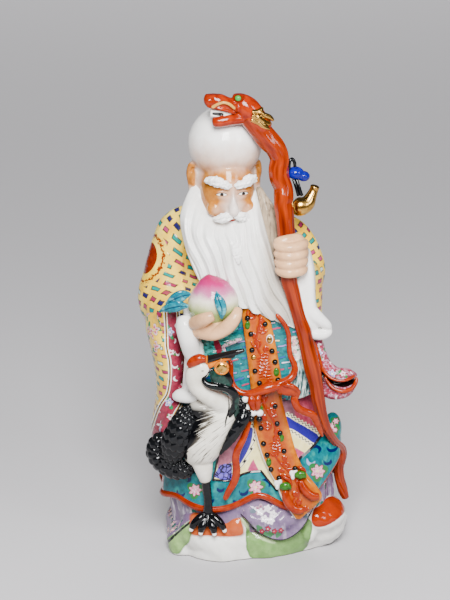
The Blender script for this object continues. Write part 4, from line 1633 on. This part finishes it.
# The knot's two lobes side by side
LOBES = (((252, 394, -69), (251, 400, -72), (252, 406, -72), (254, 410, -71)),
    ((259, 393, -69), (257.6, 400, -72.5), (257.6, 406, -72), (257, 410, -71)))
knot_red = fused_piece("knot_of_the_girdle", [sweep(spots(*keys),
        [(2.6, 2.4), (3, 2.8), (2.8, 2.4), (1.8, 1.6)], along=40, around=26) for keys in LOBES], 0.5, 1)
dress(knot_red, IRON_RED)
knot_beads = new_piece("knot_beads", spots((240.4, 401.6, -71), (242, 409.6, -71), (245.6, 417, -71),
        (251.4, 418.8, -71), (259.4, 419, -70)), [])
dress(grow(knot_beads, bead_tree, {"Radius": 2.8 * MM, "Material": BLACK}), BLACK)


# The crane

crane_forms = [sweep([(-16, -66, 156), (-26, -69, 146), (-40, -70, 127), (-48, -67, 110), (-56, -62, 99)],
        [(8, 7), (14.5, 12), (18, 15.5), (17, 14), (8, 7)], along=80, around=60),
    sweep([(-20, -70, 150), (-32, -77, 161), (-44, -81, 170), (-50.5, -82, 179), (-50, -83, 189),
        (-46, -84, 196)], [(11, 8), (9, 8), (7.6, 7.5), (8, 7.4), (8.8, 7.8), (6, 5.4)], along=80,
        around=48),
    ball((-45.5, -85.6, 192.6), (7.8, 5.5, 8.4), around=40, down=28),
    ball(spot(205, 409, -70), (15, 12, 10.5), around=50, down=36),
    ball(spot(199, 426, -67), (13.5, 13, 15), around=50, down=36),
    sweep([(-47, -66, 108), (-44, -68, 93), (-42, -67, 80)], [(12, 9), (8.5, 8), (5, 5)], along=50,
        around=40)]
crane = fused_piece("crane_body", crane_forms, 1.0, 3)
where = places(crane)
seen = front(where)
# How far across the breast each hair line's place is, from the wing's edge to where the lines end
WING_EDGE = 186
HAIR_ENDS = [(398, 214), (404, 217), (412, 219.5), (419, 219), (425, 215), (433, 208), (438, 205),
    (443, 199), (449, 190), (453, 188)]
ends = np.interp(seen[:, 1], *zip(*HAIR_ENDS))
mark(crane, "from_wing", (seen[:, 0] - WING_EDGE) / (ends - WING_EDGE) + step(-58, -52, where[:, 1]))
# The hair lines fan out from a point beyond the breast
FAN_CENTRE = (258, 402)
fan = seen - FAN_CENTRE
mark(crane, "hair_along", np.linalg.norm(fan, axis=1))
mark(crane, "hair_across", 60 * np.arctan2(fan[:, 1], -fan[:, 0]))
EYE_SPOT = spot(202.5, 370.5, -89.5)
mark(crane, "eye", np.linalg.norm((where - EYE_SPOT) * (0.6, 0.5, 1.0), axis=1))
mark(crane, "belly_line", stripe(seen, [(228, 396), (229, 408), (226, 420), (225, 428)],
        [0.3, 0.8, 0.9, 0.2]))


def paint_crane(tree):
    """White glaze with grey and black hair lines that run out from the wing."""
    place = drawn_place(tree)
    drawn = add(tree, "CombineXYZ", "hair_along", "hair_across")
    drawn = add(tree, "VectorMath", drawn, (0.045, 0.75, 0), operation="MULTIPLY")
    hairs = add(tree, "TexNoise", drawn, Scale=1.0, Detail=3.0, Roughness=0.6)
    away = add(tree, "Attribute", out=2, attribute_name="from_wing")
    near = add(tree, "MapRange", away, 0.2, 1.0, 0.24, 0.58)
    dark = add(tree, "MapRange", add(tree, "Math", hairs, near, operation="SUBTRACT"), -0.02, 0.07)
    height = add(tree, "SeparateXYZ", place).node.outputs["Z"]
    above_legs = add(tree, "MapRange", height, 98.0, 104.0)
    under_neck = add(tree, "MapRange", height, 152.0, 160.0, 1.0, 0.0)
    dark = add(tree, "Math", dark, above_legs, operation="MULTIPLY")
    dark = add(tree, "Math", dark, under_neck, operation="MULTIPLY")
    ink = lay(tree, "#060608", (away, 0.45, 0.9, "#5c554a"))
    colour = tone(tree, place, "#e9e4d8", "#d3cdbd", 12.0)
    colour = add(tree, "Mix", dark, colour, ink, data_type="RGBA")
    pupil = add(tree, "Math", 1.0, "eye", operation="SUBTRACT")
    return lay(tree, colour, ("belly_line", -0.25, 0.25, "#18181a"),
        (pupil, -0.25, 0.25, "#141414")), None


dress(crane, glazed("white_glaze_with_hair_lines", paint_crane))

cap_grid = sweep([(-56, -85, 196), (-52.5, -87, 200.5), (-47, -88, 203.4), (-41, -87.5, 203)],
    [(3, 3), (4.6, 4.6), (4.8, 4.4), (2.8, 2.8)], along=40, around=36)
cap = tube_piece("crane_cap", cap_grid)
dress(cap, IRON_RED)
throat = fused_piece("crane_throat", [sweep(spots((213, 369.5, -85), (218, 375, -87), (224, 380, -86),
        (231, 384.5, -83)), [(4, 3), (8, 4.4), (8, 4.6), (4, 3)], along=50, around=40),
        sweep(spots((213, 368.4, -87), (206.5, 373.4, -88), (203.4, 379.6, -88.5), (208, 384.6, -89.5),
        (217, 386.6, -90), (227, 388.4, -88), (234.2, 394.4, -85), (235.4, 403, -82), (232, 411.4, -80),
        (226.6, 421, -77)), [(0.9, 1), (1.5, 1.5), (2, 2), (2.8, 2.6), (3.4, 3), (3.8, 3.3), (4, 3.4),
        (3.6, 3.1), (2.6, 2.4), (0.8, 0.8)], along=110, around=36),
        ball(spot(236, 411, -76), (3.2, 2.4, 8.4), tip=0.1, around=30, down=24)], 0.7, 1)
seen = front(places(throat))
mark(throat, "green", np.maximum(patch(seen, [(209, 373), (216, 371), (226, 378), (231, 386),
        (222, 383.4), (212, 381.6), (207, 378)]), patch(seen,
        [(235, 401), (241, 397), (242, 409), (237, 419), (232, 421), (235, 411)])))


def paint_throat(tree):
    """Glossy black that shows green where it is thin."""
    place = drawn_place(tree)
    colour = tone(tree, place, "#0a0d0e", "#050607", 8.0)
    pale = add(tree, "TexNoise", place, Scale=0.11, Detail=1.0)
    return lay(tree, colour, ("green", -0.6, 0.6, tone(tree, place, "#1e3a32", "#10211c", 4.0)),
        (pale, 0.56, 0.75, "#1a342e", 0.5)), None


dress(throat, glazed("black_enamel_thin_over_green", paint_throat, roughness=0.06))


def paint_bill(tree):
    """Black above, orange along the base and the lower edge."""
    place = drawn_place(tree)
    parts = add(tree, "SeparateXYZ", mottled(tree, place, 0.05, 4.0))
    line = add(tree, "Math", add(tree, "Math", parts, 0.33, operation="MULTIPLY"), 212.2, operation="ADD")
    above = add(tree, "Math", parts.node.outputs["Z"], line, operation="SUBTRACT")
    tip = add(tree, "MapRange", parts, -26.0, -12.0, 0.0, 5.0)
    black = add(tree, "MapRange", add(tree, "Math", above, tip, operation="ADD"), 0.35, 0.85)
    out = add(tree, "MapRange", parts, -40.6, -39.4)
    return add(tree, "Mix", add(tree, "Math", black, out, operation="MULTIPLY"),
        tone(tree, place, "#cc7100", "#aa4800", 5.0), "#131111", data_type="RGBA"), None


bill = fused_piece("crane_bill", [sweep(spots((205, 361, -85), (213, 358.4, -86), (224, 355.4, -87),
        (235, 352.6, -88.5), (244.6, 350, -89)), [(4.4, 4.2), (3.6, 3.4), (3.1, 3), (2.6, 2.5),
        (1.5, 1.5)], along=60, around=30),
        sweep([(-44, -84.5, 193), (-37, -86, 197), (-26, -87, 202), (-16, -88, 206.5)],
        [(3, 3), (2.4, 2.4), (2, 2), (1.2, 1.2)], along=50, around=24)], 0.5, 1)
dress(bill, glazed("black_and_orange_enamel", paint_bill))
bead = fused_piece("pearl_at_the_throat", [ball((-27.5, -88, 196), (6.6, 5, 6.4), around=40, down=28)],
    0.5, 1)
push(bead, -0.9 * hill(places(bead), (-27.5, -93, 196), (2.4, 4, 2.4)))
a = np.linspace(0, TAU, 60, endpoint=False)
ring_line = np.stack([-27.5 + 5.4 * np.cos(a), np.full(60, -90.6), 196 + 5.2 * np.sin(a)], -1)
bead_ring = ring_piece("pearl_ring", ring_grid(ring_line, 1.2, 10))
dress(bead, GOLD)

# Amber orange
ORANGE = glazed("orange_enamel", plain("#c87500", "#a64f00", 4.0))
dress(bead_ring, ORANGE)


def feathered(grid, rows, across, depth):
    """Rows of small rounded feathers pressed into a closed form, each lifted towards its tip."""
    lines, cols = grid.shape[:2]
    v = np.linspace(0, rows, lines)[:, None] + 0 * np.zeros((1, cols))
    u = np.arange(cols)[None] / cols * across
    line = np.floor(v)
    x = (u + 0.5 * (line % 2)) % 1 - 0.5
    y = v - line - 0.5
    height = np.clip(1 - (x / 0.52) ** 2 - (y / 0.55) ** 2, 0, 1) ** 0.6 * (0.75 + 0.5 * (y + 0.5))
    return swell(grid, depth * (height - 0.4)), height


def paint_feathers(tree):
    """Blue black, a little paler on the crown of each feather."""
    place = drawn_place(tree)
    colour = tone(tree, place, "#060608", "#101214", 5.0)
    return lay(tree, colour, ("height", 0.8, 1.1, "#191c21", 0.4)), None


FEATHER_BLACK = glazed("glossy_black_enamel_on_feathers", paint_feathers, roughness=0.07)
PLUMAGE = [("crane_wing", sweep([(-52, -73, 152), (-58, -73, 146), (-63, -72, 134), (-68, -69, 118),
        (-72, -64, 104), (-74, -60, 98)], [(4, 4), (8.5, 7), (12, 9), (13.5, 10), (9, 7), (4, 4)],
        along=170, around=126), 13, 11, 1.5),
    ("tail_plume_1", sweep([(-74, -57, 118), (-83, -55, 114), (-87, -53, 104), (-82, -54, 94),
        (-71, -57, 88), (-60, -60, 89), (-53, -62, 95)], [(5, 5), (8, 7), (9, 8), (9, 8), (9, 8), (8, 7),
        (3.5, 3.5)], along=140, around=64), 17, 7, 1.3),
    ("tail_plume_2", sweep([(-68, -62, 114), (-76, -61, 108), (-77, -60, 99), (-69, -61, 94),
        (-60, -63, 96)], [(4, 4), (6, 6), (6, 6), (6, 6), (3.5, 3.5)], along=140, around=64), 14, 7, 1.3),
    ("far_wing", sweep(spots((247, 409, -74), (242, 420, -78), (235.5, 431, -80), (228, 443, -80),
        (219.5, 455, -78)), [(5, 3), (6, 4), (5.4, 3.8), (3.8, 2.8), (0.6, 0.6)], along=100, around=54),
        6, 4, 0.5),
    ("far_wing_coverts", sweep([(-16, -69, 162), (-12, -71, 152), (-11, -72, 142), (-14, -73, 132)],
        [(4, 3), (6.5, 4.4), (6, 4), (2.6, 2.4)], along=70, around=54), 5, 4, 1.2)]
for name, grid, lines, across, depth in PLUMAGE:
    points, height = feathered(grid, lines, across, depth)
    dress(tube_piece(name, points, {"height": height}), FEATHER_BLACK)
leg_grid = sweep([(-42, -66.5, 84), (-41, -66.5, 72), (-40, -65.5, 60), (-40, -63, 48)],
    [(3.6, 3.6), (3.9, 3.9), (3.6, 3.6), (4.4, 4.2)], along=110, around=36)
v = np.linspace(0, 1, 111)[:, None]
a = np.arange(36)[None] / 36 * TAU
leg_forms = [swell(leg_grid, 0.3 * np.abs(np.sin(v * 12 * np.pi)) * (np.cos(a * 2) > -0.4))]
# Toes: how far across they reach, how far forward, and how high
TOES = ((-15, -65, 1), (-6.5, -67.5, -1.5), (5.5, -68, -2), (14.5, -66, 0.5))
for reach, ahead, lift in TOES:
    leg_forms.append(sweep([(-40, -61, 47), (-40 + reach * 0.45, -65, 43 + lift),
            (-40 + reach * 0.8, ahead - 1, 38 + lift), (-40 + reach, ahead - 0.5, 32.5 + lift)],
            [(3.2, 3), (3.9, 3.6), (4, 3.6), (3, 2.8)], face=UP, along=44, around=24))
leg = fused_piece("crane_leg", leg_forms, 0.65, 1)
dress(leg, BLACK)
claws = fused_piece("crane_claws", [ball((-40 + reach * 1.03, ahead - 1.6, 31.6 + lift), (2.1, 2.0, 2.2),
        around=20, down=14) for reach, ahead, lift in TOES], 0.4, 1)
dress(claws, WHITE)


# The rock

ROCK_PLAN = [(-27, -67), (-2, -60), (19, -58), (50, -42), (76, -22), (90, 14), (82, 44), (56, 60),
    (16, 66), (-28, 64), (-62, 50), (-78, 20), (-78, -12), (-71, -37), (-50, -60)]


def rock_slab(around=300, along=40):
    line = closed_line(ROCK_PLAN, around)
    t = np.linspace(0, 1, along + 1)
    level, reach = (v[:, None] for v in spline([(-0.2, 0.97), (0.1, 0.995), (0.45, 1.0), (0.8, 0.98),
            (1.05, 0.88)], t).T)
    a = np.arange(around)[None] / around * TAU
    lump = 1 + 0.014 * np.sin(9 * a + 5 * level) * np.clip(level * 4, 0, 1)
    x, y = line[:, 0][None] * reach * lump, line[:, 1][None] * reach * lump
    grid = np.stack([x, y, level * 24 + 0 * a], -1)
    return grid if (outward(grid)[20, 0] * grid[20, 0]).sum() > 0 else grid[:, ::-1]


rock = fused_piece("rock", [rock_slab(),
        ball((-38, -40, 21.6), (31, 25, 23), turn=0.2, tip=0.2, around=60, down=40),
        ball((20, -36, 16), (38, 20.5, 28), turn=0.12, around=60, down=40),
        ball(spot(182, 542, -38), (14, 17, 17), around=44, down=30),
        ball(spot(237, 526, -53), (12, 10, 12), around=44, down=30),
        ball((62.5, -17, 22.5), (26, 27, 26), around=70, down=44),
        ball((62, -27, 33), (25.5, 27, 17), around=60, down=40),
        ball(spot(308, 530, -40), (9, 14, 12), around=44, down=30)], 1.8, 4)
x, y, z = places(rock).T
push(rock, 0.5 * waves(x, y + z, 11, 26) + 0.25 * waves(x + z, y, 4, 9))
where = places(rock)
where[:, 1:] = np.clip(where[:, 1:], (-90, 0), (66, 90))
move(rock, where)
flat_uv(rock)
seen = front(where)
behind = 30 - where[:, 1]
# Its washes as the front shows them
WASHES = {"lavender_left": [(160, 500), (178, 500), (196, 508), (198, 514), (190, 520), (178, 530),
        (166, 540), (160, 530)],
    "red_left": [(191, 514), (206, 511), (222, 512), (236, 513), (242, 522), (243, 535), (225, 537),
        (205, 536), (192, 535), (190, 524)],
    "red_right": [(311.6, 521.8), (312.4, 513), (317.5, 504.4), (329.2, 496.4), (338, 496.6),
        (343.9, 501.2), (344.6, 511.5), (338, 518.8), (326.3, 525.8), (316, 526.9)],
    "green_middle": [(234, 509), (244, 512), (258, 526), (272, 534), (290, 534), (305, 520), (312, 522),
        (311, 535), (305, 549), (290, 556), (273, 561), (254, 560), (247, 550), (246, 539), (245, 526)],
    "pale_rim": [(234, 509), (240, 512), (250, 523), (262, 534), (275, 541), (275, 544), (262, 540),
        (250, 531), (243, 524), (238, 518)],
    "green_left": [(167, 540), (177, 531), (190, 521), (195, 524), (192, 536), (186, 546), (178, 554),
        (169, 550)],
    "line_left": [(167, 541), (178, 531), (190, 521), (198, 515), (198.6, 517), (191, 523), (179, 533),
        (168.4, 543)],
    "green_right": [(322, 495), (331, 490), (345, 491), (352, 499), (352, 511), (345, 512), (341.5, 499),
        (331, 495), (325, 498)]}
for name, outline in WASHES.items():
    limit = behind - 36 if name == "red_right" else behind
    mark(rock, name, np.minimum(patch(seen, outline), limit))
mark(rock, "behind", where[:, 1])


def paint_rock(tree):
    """White glaze with broad washes of leaf green and iron red, green again round the back."""
    place = drawn_place(tree)
    colour = tone(tree, place, "#eceae4", "#d8d6ce", 16.0)
    green = tone(tree, place, "#85b061", "#689a3f", 7.0)
    wash = add(tree, "TexNoise", place, Scale=0.05, Detail=3.0)
    pale_green = add(tree, "Mix", add(tree, "MapRange", wash, 0.4, 0.55, 0.3, 1.0), colour, green,
        data_type="RGBA")
    wander = add(tree, "MapRange", add(tree, "TexNoise", place, Scale=0.12, Detail=2.0), 0.0, 1.0, -2.0,
        2.0)
    around = add(tree, "Math", "behind", wander, operation="ADD")
    patches = add(tree, "TexNoise", place, Scale=0.022, Detail=1.0)
    around = add(tree, "Math", add(tree, "MapRange", around, 20.5, 23.5),
        add(tree, "MapRange", patches, 0.47, 0.53), operation="MULTIPLY")
    colour = add(tree, "Mix", around, colour, pale_green, data_type="RGBA")
    sprigs = blossoms(tree, add(tree, "UVMap", uv_map="millimetres"),
        tone(tree, place, "#7d6986", "#5f4b6d", 10.0), 10.0, 3.2, "#a8203f", "#efe6d8", "#0d5c4d",
        seed=2.0)
    colour = lay(tree, colour, ("lavender_left", -0.4, 0.4, sprigs))
    for name, ink, dark, soft, loose in (("green_left", "#8fb06c", "#3f6a26", 0.8, 1.0),
            ("green_middle", "#7a9e5c", "#3c6826", 0.5, 0.6),
            ("pale_rim", "#c2d4a4", "#9cb97c", 0.6, 0.2),
            ("line_left", "#1c1c1e", "#2b2a2c", 0.3, 0.0),
            ("green_right", "#a7c98d", "#689a3f", 0.8, 0.5),
            ("red_left", "#b4562c", "#9c3408", 1.2, 0.3),
            ("red_right", "#9a2c00", "#801600", 0.4, 0.1)):
        inside = add(tree, "Attribute", out=2, attribute_name=name)
        inside = add(tree, "Math", wander, loose, inside, operation="MULTIPLY_ADD")
        wet = tone(tree, place, ink, dark, 8.0, strength=0.45)
        rimmed = add(tree, "Mix", add(tree, "MapRange", inside, 0.0, 2.6, 0.25, 1.0), dark, wet,
            data_type="RGBA")
        colour = lay(tree, colour, (inside, -soft, soft, rimmed))
    foot = add(tree, "MapRange", add(tree, "SeparateXYZ", place).node.outputs["Z"], 0.5, 1.2, 1.0, 0.0)
    return add(tree, "Mix", foot, colour, "#5d5750", data_type="RGBA"), None


dress(rock, glazed("white_glaze_with_green_and_red_washes", paint_rock))

# The middle of the underskirt hangs in a swag over the rock
swag = fused_piece("swag", [folded(ball((19, -53, 48.5), (38, 15.5, 35), around=120, down=80), 9, 0.8,
        0.4)], 1.2, 1)
where = places(swag)
where[:, 1] += 0.6 * np.clip(where[:, 2] - 42, 0, None)
move(swag, where)
push(swag, 1.2 * np.sin(path_distance(where, [(-18, -66, 62), (4, -70, 40), (24, -70, 34), (46, -60, 60)])
        * 0.42))
# Outside its hem the swag sinks into the rock
SWAG_HEM = [(236, 508), (240, 514), (247, 521), (257, 531.5), (266, 537), (275, 540), (285, 540),
    (295, 535), (303, 527.5), (309, 517), (316, 496), (300, 478), (270, 474), (244, 486)]
inside = patch(front(places(swag)), SWAG_HEM)
push(swag, -8 * step(0.0, 3.0, -inside))
flat_uv(swag)
seen = front(places(swag))
mark(swag, "hem", 1.1 - np.abs(patch(seen, SWAG_HEM)))
mark(swag, "white_spray", most(flower(seen, (a, d), 4.6) for a, d in ((260.4, 512), (267.4, 508.6),
        (273, 514), (264.6, 519), (270.6, 521))))
mark(swag, "red_spray", most(flower(seen, (a, d), 3.3) for a, d in ((262, 531.4), (268, 528.6),
        (274.6, 531.4), (281, 530.6))))
mark(swag, "leaves", most(flower(seen, (a, d), 3.6, 3) for a, d in ((265.6, 534.4), (271, 534),
        (278, 534.6), (259, 528))))


def paint_swag(tree):
    """Lavender with white streaks, a white bloom, a red spray and a dark line at the hem."""
    colour, _ = paint_lavender(tree)
    place = add(tree, "UVMap", uv_map="millimetres")
    colour = add(tree, "Mix", 0.45, tone(tree, place, "#8a7792", "#624e6f", 10.0), colour,
        data_type="RGBA")
    petals = tone(tree, place, "#f8f4f6", "#d9ccd8", 1.6)
    colour = lay(tree, colour,
        ("white_spray", -0.6, -0.1, "#8a7c90"),
        ("white_spray", 0.0, 0.5, petals),
        ("white_spray", 3.0, 3.4, "#b7a6bd"),
        ("leaves", -0.25, 0.25, "#3c7a4c"),
        ("red_spray", -0.25, 0.2, "#4c0c1c"),
        ("red_spray", 0.3, 0.7, "#a8263e"),
        ("red_spray", 1.9, 2.2, "#f0dccc"))
    return lay(tree, colour, ("hem", -0.25, 0.25, "#1f1921")), None


dress(swag, glazed("lavender_enamel_on_the_swag", paint_swag))


# Floor, light and camera

def stage_plane(name, corners, material):
    mesh = bpy.data.meshes.new(name)
    mesh.from_pydata(corners, [], [(0, 1, 2, 3)])
    piece = bpy.data.objects.new(name, mesh)
    bpy.context.scene.collection.objects.link(piece)
    mesh.materials.append(material)


paper = bpy.data.materials.new("pale_grey_paper")
paper.use_nodes = True
paper_shader = next(n for n in paper.node_tree.nodes if n.type == "BSDF_PRINCIPLED")
paper_shader.inputs["Base Color"].default_value = linear("#bab8bb")
paper_shader.inputs["Roughness"].default_value = 0.8
paper_shader.inputs["Specular IOR Level"].default_value = 0.1
stage_plane("floor", [(-5, -5, 0), (5, -5, 0), (5, 5, 0), (-5, 5, 0)], paper)

world = bpy.data.worlds.new("soft_room")
bpy.context.scene.world = world
world.use_nodes = True
sky = next(n for n in world.node_tree.nodes if n.type == "BACKGROUND")
sky.inputs["Color"].default_value = linear("#dcdde2")
sky.inputs["Strength"].default_value = 0.12


def softbox(name, azimuth, height, distance, size, power):
    """A rectangular lamp that looks at the figure's chest."""
    a, e = math.radians(azimuth), math.radians(height)
    lamp = bpy.data.lights.new(name, "AREA")
    lamp.shape = "RECTANGLE"
    lamp.size, lamp.size_y = size
    lamp.energy = power
    holder = bpy.data.objects.new(name, lamp)
    bpy.context.scene.collection.objects.link(holder)
    away = Vector((math.sin(a) * math.cos(e), -math.cos(a) * math.cos(e), math.sin(e)))
    holder.location = Vector((-0.02, -0.02, 0.28)) + away * distance
    holder.rotation_euler = (-away).to_track_quat("-Z", "Y").to_euler()
    return holder


softbox("window_front", 2, 36, 1.3, (0.5, 0.58), 54)
softbox("window_right", 46, 24, 1.4, (0.3, 0.5), 8)
ceiling = softbox("ceiling", 180, 37, 4.8, (8, 7), 370)
ceiling.visible_glossy = False

lens = bpy.data.cameras.new("camera")
lens.lens = 111.86
lens.sensor_width = 36
camera = bpy.data.objects.new("camera", lens)
bpy.context.scene.collection.objects.link(camera)
camera.location = Vector(EYE * 0.001)
camera.rotation_euler = (math.pi / 2 - EYE_TILT, 0, 0)
bpy.context.scene.camera = camera
